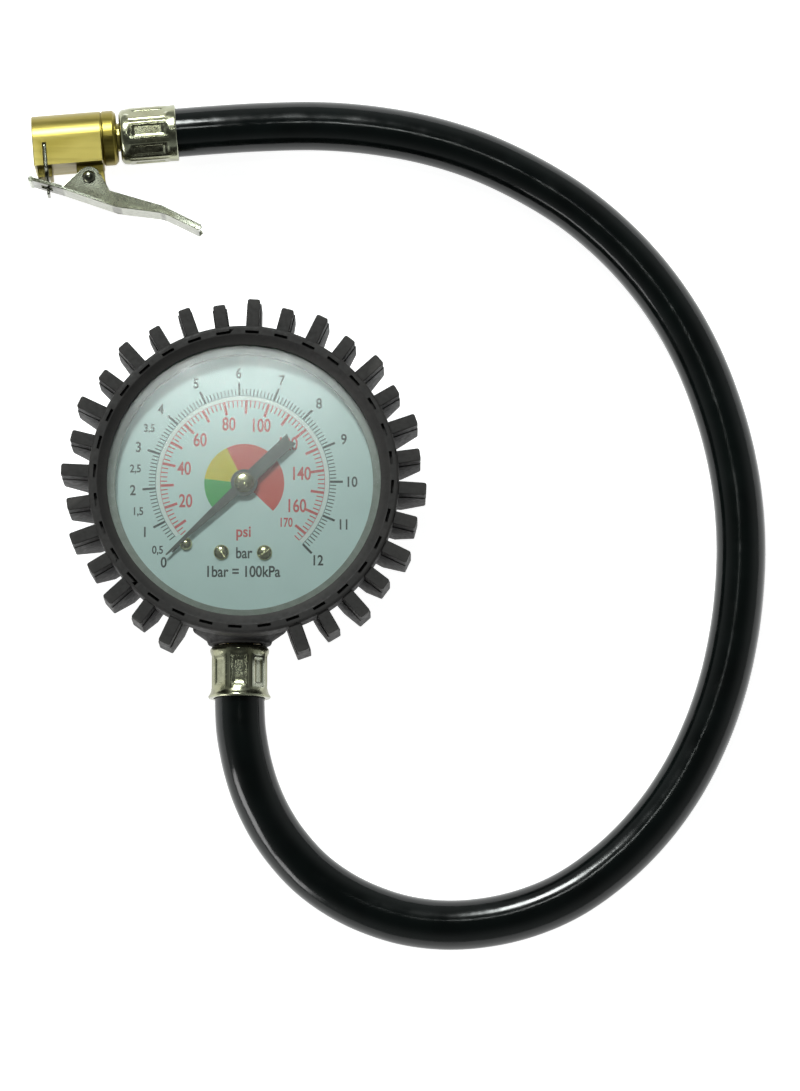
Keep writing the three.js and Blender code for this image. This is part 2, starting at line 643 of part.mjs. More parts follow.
function chuckBody() {
  const section = [[-CHUCK_R, -CHUCK_R], [CHUCK_R, -CHUCK_R]];
  for (let turn = 0; turn <= 180; turn += 10) section.push(polar(CHUCK_R, turn));
  const collar = turned([
    [0, CHUCK_BODY_END - 0.5], [CHUCK_R - 0.5, CHUCK_BODY_END - 0.5], [CHUCK_R, CHUCK_BODY_END],
    [CHUCK_R, CHUCK_END - 1.0], [CHUCK_R - 1.0, CHUCK_END], [0, CHUCK_END],
  ], 'x', 36);
  const foot = block([0.7, -9.9, -4], [4.6, -7, 4]);
  const ear = plate([[11, -13.3], [14.5, -14], [18.9, -14.6], [18.2, -10.8], [18.2, -7], [11, -7]],
    -EAR_HALF, EAR_HALF);
  const cuts = [
    cylinder(VALVE_BORE, -1, 14.3, [0, 0], 'x', MEDIUM),
    cylinder(2.0, 14, 16.5, [0, 0], 'x'),
    cylinder(4.1, 16.1, CHUCK_END + 1, [0, 0], 'x', MEDIUM),
    block([CLAW_SLOT[0], -12, -9], [CLAW_SLOT[1], -1.2, 9]),
    block([10, -16, -SPRING_SLOT], [20, -7.6, SPRING_SLOT]),
    cylinder(1.4, -6, 6, RIVET),
  ];
  return worked(crossPlate(section, 0, CHUCK_BODY_END), [collar, foot, ear], cuts);
}

// Fork that grips the valve from below, with a T-shaped tail hooked through the lever.
function clawPlate() {
  const outline = [
    [-6.9, -1.6], [-6.9, -7.9], [-4.4, -9.4], [-1.7, -10.3], [-1.7, -13.3], [-2.6, -13.3],
    [-2.6, -14.4], [2.6, -14.4], [2.6, -13.3], [1.7, -13.3], [1.7, -10.3], [4.4, -9.4],
    [6.9, -7.9], [6.9, -1.6],
  ];
  const notch = cylinder(4.0, 0, 6, [0.4, 0], 'x', MEDIUM);
  const middle = (CLAW_SLOT[0] + CLAW_SLOT[1]) / 2;
  return worked(crossPlate(outline, middle - CLAW_THICK / 2, middle + CLAW_THICK / 2), [], [notch]);
}

function lever() {
  const outer = [[-1.2, -10.6], [6.6, -13.5], [20.8, -19.7], [33, -22.3], [41.9, -27.6]];
  const flange = [
    ...outer.slice(1), [42.9, -26.9], [42.7, -26.1], [33, -20.2], [19.4, -15], [17.3, -10.4],
  ];
  for (let turn = 10; turn <= 140; turn += 20) flange.push(offset(RIVET, polar(2.9, turn)));
  flange.push([6.6, -13.2]);
  const cheeks = [-1, 1].map((side) => plate(flange,
    Math.min(side * CHEEK_IN, side * CHEEK_OUT), Math.max(side * CHEEK_IN, side * CHEEK_OUT)));
  const inner = outer.map(([x, y]) => [x + WEB_THICK * 0.4, y + WEB_THICK]).reverse();
  const web = plate([...outer, ...inner], -CHEEK_OUT, CHEEK_OUT);
  const tip = cylinder(0.75, -CHEEK_OUT, CHEEK_OUT, [-1.2, -10.2], 'z', SMALL);
  const tailSlot = block([1.3, -16, -2.1], [4.2, -8, 2.1]);
  const rivetHole = cylinder(1.45, -9, 9, RIVET);
  return worked(cheeks[0], [cheeks[1], web, tip], [tailSlot, rivetHole]);
}

function leverRivet() {
  const head = CHEEK_OUT + 0.15;
  const profile = [
    [0, -head - 1.0], [1.2, -head - 0.8], [1.75, -head], [1.3, -head], [1.3, head],
    [1.75, head], [1.55, head + 0.6], [0.9, head + 1.0], [0, head + 1.1],
  ];
  const geometry = turned(profile, 'z', SMALL);
  geometry.translate(...RIVET, 0);
  return geometry;
}

// Torsion spring round the rivet: one leg bears under the collar, the other on the lever's web.
function leverSpring() {
  const wire = 0.28;
  const coilR = 2.1;
  const half = 1.0;
  const points = [new THREE.Vector3(17.6, -8.5, half)];
  const firstAngle = 90;
  const lastAngle = 940;
  const steps = 40;
  for (let i = 0; i <= steps; i += 1) {
    const [x, y] = polar(coilR, firstAngle + ((lastAngle - firstAngle) * i) / steps);
    points.push(new THREE.Vector3(RIVET[0] + x, RIVET[1] + y, half - (2 * half * i) / steps));
  }
  points.push(new THREE.Vector3(19.6, -17.2, -half));
  const path = new THREE.CatmullRomCurve3(points, false, 'centripetal');
  const corners = [0, 72, 144, 216, 288].map((turn) => new THREE.Vector2(...polar(wire, turn)));
  const section = new THREE.Shape(corners);
  return new THREE.ExtrudeGeometry(section, { steps: 72, bevelEnabled: false, extrudePath: path });
}

function chuckSeal() {
  return turned(pipe(1.6, VALVE_BORE - GAP, 10.6, 13.0), 'x', MEDIUM);
}

function depressorPin() {
  const disc = cylinder(VALVE_BORE - GAP, 13.3, 14.1, [0, 0], 'x', MEDIUM);
  const stalk = turned([[0, 7.9], [0.5, 7.9], [0.75, 8.3], [0.75, 13.5], [0, 13.5]], 'x', SMALL);
  const holes = [90, 210, 330].map((turn) => cylinder(0.6, 13, 15, polar(1.9, turn), 'x', 8));
  return worked(disc, [stalk], holes);
}

// ---------------------------------------------------------------- assembly

const gauge = new THREE.Group();
const chuck = new THREE.Group();
chuck.position.set(...CHUCK_PLACE);
chuck.rotation.z = CHUCK_TURN * DEG;
gauge.add(chuck);

piece('rubber_boot', rubberBoot(), 'rubber', gauge);
piece('gauge_case', gaugeCase(), 'steel', gauge);
piece('bezel_ring', bezelRing(), 'steel', gauge);
piece('lens', lens(), 'glass', gauge);
piece('lens_gasket', lensGasket(), 'gasket', gauge);

piece('dial_plate', dialPlate(), 'dial', gauge);
['left', 'right'].forEach((side, i) => {
  const turn = i ? 35 : -50;
  const top = DIAL_Z + DIAL_THICK + 0.1;
  piece(`dial_screw_${side}`, screw(2.05, 1.1, 0.95, 4.2, top, DIAL_SCREWS[i], turn), 'brass', gauge);
  const dialPost = post(DIAL_SCREWS[i], 1.8, [1.15, 9.8], 13.45, DIAL_Z - 0.2, 1.15, 5);
  piece(`dial_post_${side}`, dialPost, 'brass', gauge);
});
piece('stop_pin', stopPin(), 'brass', gauge);
piece('pointer', pointer(), 'pointer', gauge);
piece('pointer_cap', pointerCap(), 'brass', gauge);

piece('pinion_arbor', pinionArbor(), 'brass', gauge);
piece('hairspring', hairspring(), 'brass', gauge);
piece('sector_gear', sectorGear(), 'brass', gauge);
piece('sector_arbor', sectorArbor(), 'steel', gauge);
piece('sector_link_pin', headedPin(TAIL_PIN, 15.0, 18.1, 0.55), 'steel', gauge);
piece('link', link(), 'brass', gauge);
piece('tip_link_pin', headedPin(LINK_TOP, 16.7, 19.4, 0.55), 'steel', gauge);
piece('bourdon_tube', tubeSweep(0, TUBE_START, TUBE_END, 32, true), 'brass', gauge);
piece('tube_end_piece', tubeEndPiece(), 'brass', gauge);
piece('gauge_socket', gaugeSocket(), 'brass', gauge);
piece('movement_rear_plate', movementPlate(REAR_PLATE, true), 'brass', gauge);
piece('movement_front_plate', movementPlate(FRONT_PLATE, false), 'brass', gauge);
['upper', 'lower'].forEach((place, i) => {
  const pillar = post(PILLARS[i], 1.4, [0.8, 12.35], 13.4, FRONT_PLATE[0] - 0.1, 0.75, 3.8);
  const frontScrew = screw(1.4, 0.8, 0.6, 4.2, FRONT_PLATE[1] + 0.1, PILLARS[i]);
  const rearScrew = screw(1.4, 0.8, 0.9, 4.0, REAR_PLATE[1] + 0.1, PLATE_SCREWS[i]);
  piece(`pillar_${place}`, pillar, 'brass', gauge);
  piece(`movement_screw_${place}`, frontScrew, 'steel', gauge);
  piece(`plate_screw_${place}`, rearScrew, 'steel', gauge);
});
['left', 'right'].forEach((side, i) => {
  const geometry = screw(2.0, 0.9, 1.0, 6.5, 0, [0, 0]);
  geometry.rotateX(Math.PI);
  const caseScrew = piece(`case_screw_${side}`, geometry, 'steel', gauge);
  caseScrew.position.set(...CASE_SCREWS[i], CASE_BACK - 0.1);
});

const gaugeNipple = turned(nipple(33.3, 42.0, 54.5), 'y', 16);
const gaugeFerrule = ferrule(-FERRULE_TOP, -FERRULE_MOUTH, 7.7, 8.15);
const stemPieces = [['gauge_nipple', gaugeNipple, 'brass'], ['gauge_ferrule', gaugeFerrule, 'zinc']];
for (const [name, geometry, material] of stemPieces) {
  const mesh = piece(name, geometry, material, gauge);
  mesh.rotation.z = Math.PI;
  mesh.position.set(STEM_X, 0, STEM_Z);
}
piece('hose', hose(), 'hose', gauge);

const [ferruleStart, ferruleEnd] = CHUCK_FERRULE;
const chuckNipple = turned(nipple(16.4, 22.9, 37.2), 'x', 16);
const chuckFerrule = ferrule(ferruleStart, ferruleEnd, 7.2, 7.5);
chuckFerrule.rotateZ(-Math.PI / 2);
piece('chuck_nipple', chuckNipple, 'brass', chuck);
piece('chuck_ferrule', chuckFerrule, 'zinc', chuck);
piece('chuck_body', chuckBody(), 'brass', chuck);
piece('chuck_seal', chuckSeal(), 'seal', chuck);
piece('depressor_pin', depressorPin(), 'brass', chuck);
piece('claw_plate', clawPlate(), 'nickel', chuck);
piece('lever', lever(), 'nickel', chuck);
piece('lever_rivet', leverRivet(), 'nickel', chuck);
piece('lever_spring', leverSpring(), 'steel', chuck);

export default gauge;
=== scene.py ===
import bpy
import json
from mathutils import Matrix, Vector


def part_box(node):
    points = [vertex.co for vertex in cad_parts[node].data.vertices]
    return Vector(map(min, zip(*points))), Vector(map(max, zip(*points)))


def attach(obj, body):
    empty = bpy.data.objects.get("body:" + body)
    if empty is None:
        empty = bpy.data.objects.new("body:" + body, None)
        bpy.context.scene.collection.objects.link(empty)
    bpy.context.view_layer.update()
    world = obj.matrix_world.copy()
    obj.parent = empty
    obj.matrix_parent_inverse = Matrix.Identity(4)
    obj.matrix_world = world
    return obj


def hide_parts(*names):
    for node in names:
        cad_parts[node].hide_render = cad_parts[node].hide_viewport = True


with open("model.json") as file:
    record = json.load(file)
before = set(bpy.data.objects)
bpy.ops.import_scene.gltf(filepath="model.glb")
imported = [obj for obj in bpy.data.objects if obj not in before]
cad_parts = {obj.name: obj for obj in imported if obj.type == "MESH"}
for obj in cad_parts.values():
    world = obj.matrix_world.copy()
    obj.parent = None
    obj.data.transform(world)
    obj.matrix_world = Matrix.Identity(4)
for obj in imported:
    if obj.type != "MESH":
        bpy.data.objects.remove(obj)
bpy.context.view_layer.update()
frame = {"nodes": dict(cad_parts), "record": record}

# Looks of the tyre pressure gauge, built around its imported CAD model.

import json
import math

import bmesh
import bpy
from mathutils import Matrix, Vector

MM = 0.001
DEG = math.pi / 180

# ---------------------------------------------------------------- driving dimensions

# Camera: it looks almost straight down on the table, tipped a little towards the hose.
VIEW_TARGET = (40.5, -12.7, 0.0)
VIEW_TILT = 8.0
VIEW_DISTANCE = 1600.0
VIEW_LENS = 200.0

# Boot: its outer radii, the cavity inside it, and the tread round its rim.
LIP_R = 35.5
RING_R = 40.3
CASE_R = 35.2
CASE_FLOOR = 5.0
FLANGE_R = 38.6
FLANGE_Z = 26.1
LIP_Z = 31.9
BACK_THICKNESS = 2.0
SLOTS = 32
BARE_SLOTS = (23, 24, 25)
TREAD_TWIST = -3.1
LUG_WIDTH = 3.4
LUG_TOP = 33.3
LUG_LONG_R = 47.4
LUG_SHORT_R = 46.2
POCKET_WIDTH = 3.5
POCKET_OUTER_R = 40.0
POCKET_STEPS = ((38.2, 32.3), (38.95, 27.0))    # inner radius and floor of the shallow part and of the well
STEM_X = -1.3
STEM_Z = 16.0
STEM_HOLE_R = 6.2
NECK_END = -41.3

# Dial: the printing is a little off centre. Its bar scale is outside a white arc and its psi scale inside it.
PRINT_CENTRE = (-0.45, 0.5)
SCALE_START = 230.7
SCALE_SWEEP = 277.0
BARS = 12
PSI_PER_BAR = 14.504
POINTER_REST = 223.2
ARC_START = 220
WHITE_ARC = (21.6, 22.45)
BAR_LINE = (22.6, 22.72)
BAR_TICK_R = 22.75
PSI_LINE = (21.3, 21.42)
INK_LIFT = 0.004
INK_THICKNESS = 0.012
FIGURE_HEIGHT = 0.69               # of the built-in font's figures, at size 1
SECTORS_R = 10.4
POINTER_HUB_R = 3.5
SCREW_PLACES = ((-5.9, -18.1), (5.3, -18.2))
STOP_PLACE = (-15.1, -15.9)

# Ferrules: the crimped sleeves at both ends of the hose.
SLEEVE_R = 7.45
SLEEVE_BORE = 6.75
FACET_R = 7.2
PANELS = 8
SHOULDER_LENGTH = 2.7
NIPPLE_HOLE_R = 4.15

# Chuck's own frame: +X from the valve mouth to the hose, +Y away from the lever.
CHUCK_FRAME = Matrix.Translation((-56.7, 93.65, 7.6)) @ Matrix.Rotation(4.7 * DEG, 4, "Z")
CHUCK_R = 7.3
CHUCK_BODY_END = 18.3
CHUCK_END = 22.3
CHUCK_FERRULE = (23.1, 38.2)
RIVET = (14.2, -10.95)
LEVER_HALF = 4.8
LEVER_SHEET = 1.0

# Hose: its centreline from inside one ferrule to inside the other, as in the CAD model.
HOSE_R = 6.5
HOSE_ROUTE = [
    (-1.3, -43.4, 16), (-1.3, -50, 16), (-1.2, -57, 16), (-0.9, -63, 16),
    (-0.2, -67.8, 15.6), (1.1, -73.7, 14.7), (3.3, -80.3, 12.9), (6.9, -87.5, 10.3),
    (11.2, -93.6, 8.2), (17, -99.8, 6.9), (24, -105, 6.5), (32, -109.1, 6.5),
    (42.5, -112.4, 6.5), (55, -113.5, 6.5), (69.5, -111.5, 6.5), (83.2, -106.3, 6.5),
    (95.3, -98, 6.5), (105.6, -87.8, 6.5), (113.9, -76.3, 6.5), (120.3, -63.8, 6.5),
    (124.9, -51, 6.5), (127.9, -38.2, 6.5), (129.6, -25.3, 6.5), (130.1, -12.6, 6.5),
    (129.3, 0, 6.5), (127.2, 12.3, 6.5), (123.8, 24.5, 6.5), (119.2, 36.4, 6.5),
    (113.2, 47.8, 6.5), (105.6, 58.6, 6.5), (96.6, 68.4, 6.5), (86.1, 77.2, 6.5),
    (74.4, 84.5, 6.5), (61.6, 90.6, 6.5), (47.8, 95, 6.5), (33.1, 97.7, 6.5),
    (19, 98.8, 6.5), (4.5, 98.5, 6.8), (-8, 97.65, 7.4), (-31.8, 95.7, 7.6),
]


def low(node):
    """Lowest corner of a CAD node, in millimetres."""
    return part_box(node)[0] / MM


def high(node):
    """Highest corner of a CAD node, in millimetres."""
    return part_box(node)[1] / MM


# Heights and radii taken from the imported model.
BOOT_TOP = high("rubber_boot").z
DIAL_TOP = high("dial_plate").z
DIAL_BACK = low("dial_plate").z
DIAL_R = high("dial_plate").x
LENS_R = high("lens").x
LENS_BACK = low("lens").z
LENS_TOP = high("lens").z
POINTER_BACK = low("pointer").z
POINTER_TOP = high("pointer").z

# ---------------------------------------------------------------- camera, hose


def placed(name, data):
    """A new object in the scene, holding the given data."""
    obj = bpy.data.objects.new(name, data)
    bpy.context.scene.collection.objects.link(obj)
    return obj


def make_camera():
    """The camera at the object's viewing angle, with no shift and no depth of field."""
    tilt = VIEW_TILT * DEG
    back = Vector((0, -math.sin(tilt), math.cos(tilt)))
    data = bpy.data.cameras.new("camera")
    data.lens = VIEW_LENS
    data.sensor_width = 36
    data.clip_end = 10
    camera = placed("camera", data)
    camera.location = (Vector(VIEW_TARGET) + back * VIEW_DISTANCE) * MM
    camera.rotation_euler = (tilt, 0, 0)
    bpy.context.scene.camera = camera


def smooth_route(points, steps=10):
    """Points along the centripetal Catmull-Rom curve through the given ones."""
    points = [Vector(p) for p in points]
    points = [2 * points[0] - points[1], *points, 2 * points[-1] - points[-2]]
    route = []
    for p0, p1, p2, p3 in zip(points, points[1:], points[2:], points[3:]):
        t1 = math.sqrt((p1 - p0).length)
        t2 = t1 + math.sqrt((p2 - p1).length)
        t3 = t2 + math.sqrt((p3 - p2).length)
        for step in range(steps):
            t = t1 + (t2 - t1) * step / steps
            a1 = p0 * ((t1 - t) / t1) + p1 * (t / t1)
            a2 = p1 * ((t2 - t) / (t2 - t1)) + p2 * ((t - t1) / (t2 - t1))
            a3 = p2 * ((t3 - t) / (t3 - t2)) + p3 * ((t - t2) / (t3 - t2))
            b1 = a1 * ((t2 - t) / t2) + a2 * (t / t2)
            b2 = a2 * ((t3 - t) / (t3 - t1)) + a3 * ((t - t1) / (t3 - t1))
            route.append(b1 * ((t2 - t) / (t2 - t1)) + b2 * ((t - t1) / (t2 - t1)))
    return route + [points[-2]]


def wire(name, route, radius, resolution):
    """A round wire or tube along a route of points."""
    curve = bpy.data.curves.new(name, "CURVE")
    curve.dimensions = "3D"
    curve.bevel_depth = radius * MM
    curve.bevel_resolution = resolution
    curve.use_fill_caps = True
    spline = curve.splines.new("POLY")
    spline.points.add(len(route) - 1)
    for point, place in zip(spline.points, route):
        point.co = (*(place * MM), 1)
    spline.use_smooth = True
    return placed(name, curve)


def make_hose(material):
    hose = wire("hose_tube", smooth_route(HOSE_ROUTE), HOSE_R, 12)
    hose.data.materials.append(material)
    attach(hose, "gauge")
    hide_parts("hose")
    return hose


# ---------------------------------------------------------------- mesh helpers


def polar(radius, degrees):
    """A point on a circle round the origin."""
    return radius * math.cos(degrees * DEG), radius * math.sin(degrees * DEG)


def arc(radius, start, end, steps, centre=(0, 0)):
    """Points round an arc, both ends included."""
    points = []
    for step in range(steps + 1):
        x, y = polar(radius, start + (end - start) * step / steps)
        points.append((centre[0] + x, centre[1] + y))
    return points


def fillet(outline, radius, steps=4, closed=True, keep=()):
    """The outline with its corners rounded, apart from those whose numbers are in keep."""
    rounded = []
    count = len(outline)
    for i, corner in enumerate(outline):
        corner = Vector(corner)
        if i in keep or (not closed and i in (0, count - 1)):
            rounded.append(tuple(corner))
            continue
        before = Vector(outline[i - 1]) - corner
        after = Vector(outline[(i + 1) % count]) - corner
        reach = min(radius, before.length * 0.45, after.length * 0.45)
        start = corner + before.normalized() * reach
        end = corner + after.normalized() * reach
        for step in range(steps + 1):
            t = step / steps
            rounded.append(tuple(start.lerp(corner, t).lerp(corner.lerp(end, t), t)))
    return rounded


def mesh_object(name, verts, faces):
    mesh = bpy.data.meshes.new(name)
    mesh.from_pydata([tuple(c * MM for c in v) for v in verts], [], faces)
    return tidy_normals(placed(name, mesh))


def tidy_normals(obj):
    """Joins corners that coincide and turns all faces outward."""
    bm = bmesh.new()
    bm.from_mesh(obj.data)
    bmesh.ops.remove_doubles(bm, verts=bm.verts, dist=1e-7)
    bmesh.ops.recalc_face_normals(bm, faces=bm.faces)
    bm.to_mesh(obj.data)
    bm.free()
    return obj


def evaluated_mesh(obj):
    """A new mesh with the object's modifiers carried out."""
    bpy.context.view_layer.update()
    return bpy.data.meshes.new_from_object(obj.evaluated_get(bpy.context.evaluated_depsgraph_get()))


def turned(name, profile, segments=96, axis="Z"):
    """A solid of revolution from (radius, height) points, which end on the axis or make a closed ring."""
    verts, rings = [], []
    for radius, height in profile:
        if radius < 1e-6:
            rings.append([len(verts)] * segments)
            verts.append((0, 0, height))
            continue
        rings.append(list(range(len(verts), len(verts) + segments)))
        verts += [(*polar(radius, 360 * s / segments), height) for s in range(segments)]
    hollow = profile[0][0] > 1e-6
    pairs = list(zip(rings, rings[1:])) + ([(rings[-1], rings[0])] if hollow else [])
    faces = []
    for a, b in pairs:
        for s in range(segments):
            t = (s + 1) % segments
            corners = list(dict.fromkeys((a[s], a[t], b[t], b[s])))
            if len(corners) > 2:
                faces.append(corners)
    obj = mesh_object(name, verts, faces)
    turn = {"X": Matrix.Rotation(90 * DEG, 4, "Y"), "Y": Matrix.Rotation(-90 * DEG, 4, "X")}
    if axis in turn:
        obj.data.transform(turn[axis])
    return obj


def bar_along(name, radius, start, end, axis="X", at=(0, 0), segments=64):
    """A round bar along an axis; at gives its place on the two other axes."""
    rod = turned(name, [(0, start), (radius, start), (radius, end), (0, end)], segments, axis)
    places = {"X": (0, *at), "Y": (at[0], 0, at[1]), "Z": (*at, 0)}
    return shifted(rod, *places[axis])


def round_edges(obj, radius, steps, wanted=lambda edge: True):
    """Rounds all the edges of a solid, or those that are wanted."""
    bm = bmesh.new()
    bm.from_mesh(obj.data)
    edges = [edge for edge in bm.edges if wanted(edge)]
    bmesh.ops.bevel(bm, geom=edges, offset=radius * MM, segments=steps, profile=0.5, affect="EDGES")
    bm.to_mesh(obj.data)
    bm.free()
    return obj


def is_level(edge):
    return abs(edge.verts[0].co.z - edge.verts[1].co.z) < 1e-9


def prism(name, outline, bottom, top, edge=0.0, steps=2):
    """A flat plate with the given outline, its rims rounded by edge."""
    count = len(outline)
    verts = [(x, y, bottom) for x, y in outline] + [(x, y, top) for x, y in outline]
    faces = [list(range(count))[::-1], list(range(count, 2 * count))]
    faces += [[i, (i + 1) % count, count + (i + 1) % count, count + i] for i in range(count)]
    obj = mesh_object(name, verts, faces)
    return round_edges(obj, edge, steps, is_level) if edge else obj


def block(name, corner, opposite, edge=0.0, steps=2):
    """A box between two corners, all its edges rounded."""
    (x0, y0, z0), (x1, y1, z1) = corner, opposite
    obj = prism(name, [(x0, y0), (x1, y0), (x1, y1), (x0, y1)], z0, z1)
    return round_edges(obj, edge, steps) if edge else obj


def moved(obj, matrix):
    """The object's mesh moved by a matrix whose lengths are in millimetres."""
    matrix = matrix.copy()
    matrix.translation *= MM
    obj.data.transform(matrix)
    return obj


def shifted(obj, x=0.0, y=0.0, z=0.0):
    """The object's mesh moved along the axes."""
    return moved(obj, Matrix.Translation((x, y, z)))


def joined(name, parts):
    """Several separate solids in one object."""
    bm = bmesh.new()
    for part in parts:
        bm.from_mesh(part.data)
        bpy.data.objects.remove(part)
    mesh = bpy.data.meshes.new(name)
    bm.to_mesh(mesh)
    bm.free()
    return placed(name, mesh)


def worked(body, joins=(), cuts=()):
    """The body with some solids joined to it and others cut away."""
    for operation, tools in (("UNION", joins), ("DIFFERENCE", cuts)):
        for tool in tools:
            modifier = body.modifiers.new("work", "BOOLEAN")
            modifier.operation = operation
            modifier.solver = "MANIFOLD"
            modifier.object = tool
    shaped = evaluated_mesh(body)
    body.modifiers.clear()
    body.data = shaped
    for tool in (*joins, *cuts):
        bpy.data.objects.remove(tool)
    return body


def even_shading(obj):
    """Normals weighted by face area, so that flat faces look flat up to their rounded edges."""
    modifier = obj.modifiers.new("even_shading", "WEIGHTED_NORMAL")
    modifier.keep_sharp = True
    shaped = evaluated_mesh(obj)
    obj.modifiers.clear()
    obj.data = shaped


def finished(obj, material, body, slot, *nodes, sharp=32):
    """Gives a piece its material, shading and body, and hides the CAD nodes that it stands for. The slot is
    not used.
    """
    obj.data.materials.clear()
    obj.data.materials.append(material)
    if obj.type == "MESH":
        for face in obj.data.polygons:
            face.use_smooth = True
        obj.data.set_sharp_from_angle(angle=sharp * DEG)
        even_shading(obj)
    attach(obj, body)
    if nodes:
        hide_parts(*nodes)
    return obj


# ---------------------------------------------------------------- materials


class Shader:
    """A material's node tree with one Principled shader, and short ways to drive it from noise."""

    def __init__(self, name, colour, roughness, metallic=0.0):
        self.material = bpy.data.materials.new(name)
        self.material.use_nodes = True
        self.nodes = self.material.node_tree.nodes
        self.links = self.material.node_tree.links
        self.shader = self.nodes["Principled BSDF"]
        self.colour = colour
        self.shader.inputs["Roughness"].default_value = roughness
        self.shader.inputs["Metallic"].default_value = metallic
        self.place = self.nodes.new("ShaderNodeTexCoord").outputs["Object"]
        self.last_bump = None

    def stretched(self, scale, turn=0.0):
        """Object coordinates turned about Z and stretched, for grain that runs one way."""
        mapping = self.nodes.new("ShaderNodeMapping")
        mapping.inputs["Rotation"].default_value = (0, 0, turn * DEG)
        mapping.inputs["Scale"].default_value = scale
        self.links.new(self.place, mapping.inputs["Vector"])
        return mapping.outputs["Vector"]

    def noise(self, scale, detail=3.0, place=None):
        node = self.nodes.new("ShaderNodeTexNoise")
        node.inputs["Scale"].default_value = scale
        node.inputs["Detail"].default_value = detail
        node.inputs["Roughness"].default_value = 0.55
        self.links.new(place or self.place, node.inputs["Vector"])
        return node.outputs["Fac"]

    def spread(self, factor, low, high, start=0.3, end=0.7):
        """A value from low to high as the factor goes from start to end."""
        node = self.nodes.new("ShaderNodeMapRange")
        node.inputs["From Min"].default_value = start
        node.inputs["From Max"].default_value = end
        node.inputs["To Min"].default_value = low
        node.inputs["To Max"].default_value = high
        self.links.new(factor, node.inputs["Value"])
        return node.outputs["Result"]

    def blend(self, factor, first, second):
        """Two colours, or colour sockets, mixed by a factor."""
        node = self.nodes.new("ShaderNodeMix")
        node.data_type = "RGBA"
        self.links.new(factor, node.inputs["Factor"])
        for socket, value in ((node.inputs["A"], first), (node.inputs["B"], second)):
            if isinstance(value, bpy.types.NodeSocket):
                self.links.new(value, socket)
            else:
                socket.default_value = (*value, 1)
        return node.outputs["Result"]

    def tinted(self, factor, second):
        """Blends the colour so far with a second one."""
        self.colour = self.blend(factor, self.colour, second)
        return self

    def mottled(self, colour, scale, detail=3, share=1.0):
        """Patches of another colour; share is how much of it the densest patches have."""
        return self.tinted(self.spread(self.noise(scale, detail), 0, share), colour)

    def rough(self, factor, low, high):
        """Roughness from low to high as the factor rises."""
        self.links.new(self.spread(factor, low, high), self.shader.inputs["Roughness"])
        return self

    def bump(self, factor, depth, strength=1.0):
        """Adds a bump of the given depth in millimetres."""
        node = self.nodes.new("ShaderNodeBump")
        node.inputs["Strength"].default_value = strength
        node.inputs["Distance"].default_value = depth * MM
        self.links.new(factor, node.inputs["Height"])
        if self.last_bump is not None:
            self.links.new(self.last_bump, node.inputs["Normal"])
        self.last_bump = node.outputs["Normal"]
        self.links.new(self.last_bump, self.shader.inputs["Normal"])
        return self

    def worn(self, lighter, radius=0.4, share=0.6):
        """Edges painted lighter, a painted highlight: the colour turns to the lighter one where the mesh is
        pointy.
        """
        edge = self.nodes.new("ShaderNodeNewGeometry").outputs["Pointiness"]
        highlight_mask = self.spread(edge, 0, share, 0.52, 0.52 + radius * 0.2)
        self.colour = self.blend(highlight_mask, self.colour, lighter)
        return self

    def done(self):
        socket = self.shader.inputs["Base Color"]
        if isinstance(self.colour, bpy.types.NodeSocket):
            self.links.new(self.colour, socket)
        else:
            socket.default_value = (*self.colour, 1)
        return self.material


def boot_rubber():
    s = Shader("boot_rubber", (0.012, 0.011, 0.0105), 0.62)
    s.mottled((0.019, 0.017, 0.016), scale=260, detail=4)
    s.mottled((0.009, 0.0085, 0.0085), scale=60, detail=2, share=0.5)
    s.rough(s.noise(900, 2), 0.52, 0.74)
    s.shader.inputs["Specular IOR Level"].default_value = 0.28
    s.bump(s.noise(2600, 3), 0.05, 0.7)
    # edges painted lighter: a painted highlight
    s.worn((0.045, 0.042, 0.039))
    return s.done()


def hose_rubber():
    s = Shader("hose_rubber", (0.001, 0.0016, 0.0015), 0.2)
    s.mottled((0.002, 0.0034, 0.0032), scale=70, detail=3)
    s.rough(s.noise(180, 4), 0.10, 0.2)
    s.shader.inputs["Specular IOR Level"].default_value = 0.3
    s.bump(s.noise(95, 2), 0.22, 0.5)
    s.bump(s.noise(420, 3), 0.03, 0.6)
    return s.done()


def satin_brass():
    s = Shader("satin_brass", (0.215, 0.175, 0.036), 0.34, 1.0)
    along = s.stretched((30, 1100, 1100), -4.7)
    s.tinted(s.spread(s.noise(1, 4, along), 0, 1), (0.28, 0.23, 0.055))
    s.mottled((0.18, 0.14, 0.027), scale=120, detail=3, share=0.5)
    s.rough(s.noise(1, 3, along), 0.28, 0.44)
    s.bump(s.noise(1, 3, along), 0.02, 0.5)
    # edges painted lighter: a painted highlight
    s.worn((0.42, 0.36, 0.12), 0.5, 0.7)
    return s.done()


def movement_brass():
    s = Shader("movement_brass", (0.60, 0.45, 0.18), 0.32, 1.0)
    s.mottled((0.50, 0.36, 0.13), scale=300, detail=4)
    s.rough(s.noise(700, 3), 0.24, 0.4)
    s.bump(s.noise(1800, 3), 0.01, 0.5)
    return s.done()


def bright_brass():
    s = Shader("bright_brass", (0.72, 0.66, 0.42), 0.18, 1.0)
    s.mottled((0.60, 0.53, 0.30), scale=500, detail=3)
    s.rough(s.noise(900, 3), 0.14, 0.28)
    s.bump(s.noise(2200, 3), 0.008, 0.5)
    return s.done()


def zinc_plate():
    s = Shader("zinc_plate", (0.30, 0.30, 0.20), 0.2, 1.0)
    s.mottled((0.20, 0.19, 0.105), scale=220, detail=4)
    s.mottled((0.38, 0.40, 0.31), scale=90, detail=2, share=0.6)
    s.rough(s.noise(700, 3), 0.13, 0.3)
    s.bump(s.noise(240, 2), 0.008, 0.4)
    # edges painted lighter: a painted highlight
    s.worn((0.66, 0.68, 0.56), 0.6, 0.7)
    return s.done()


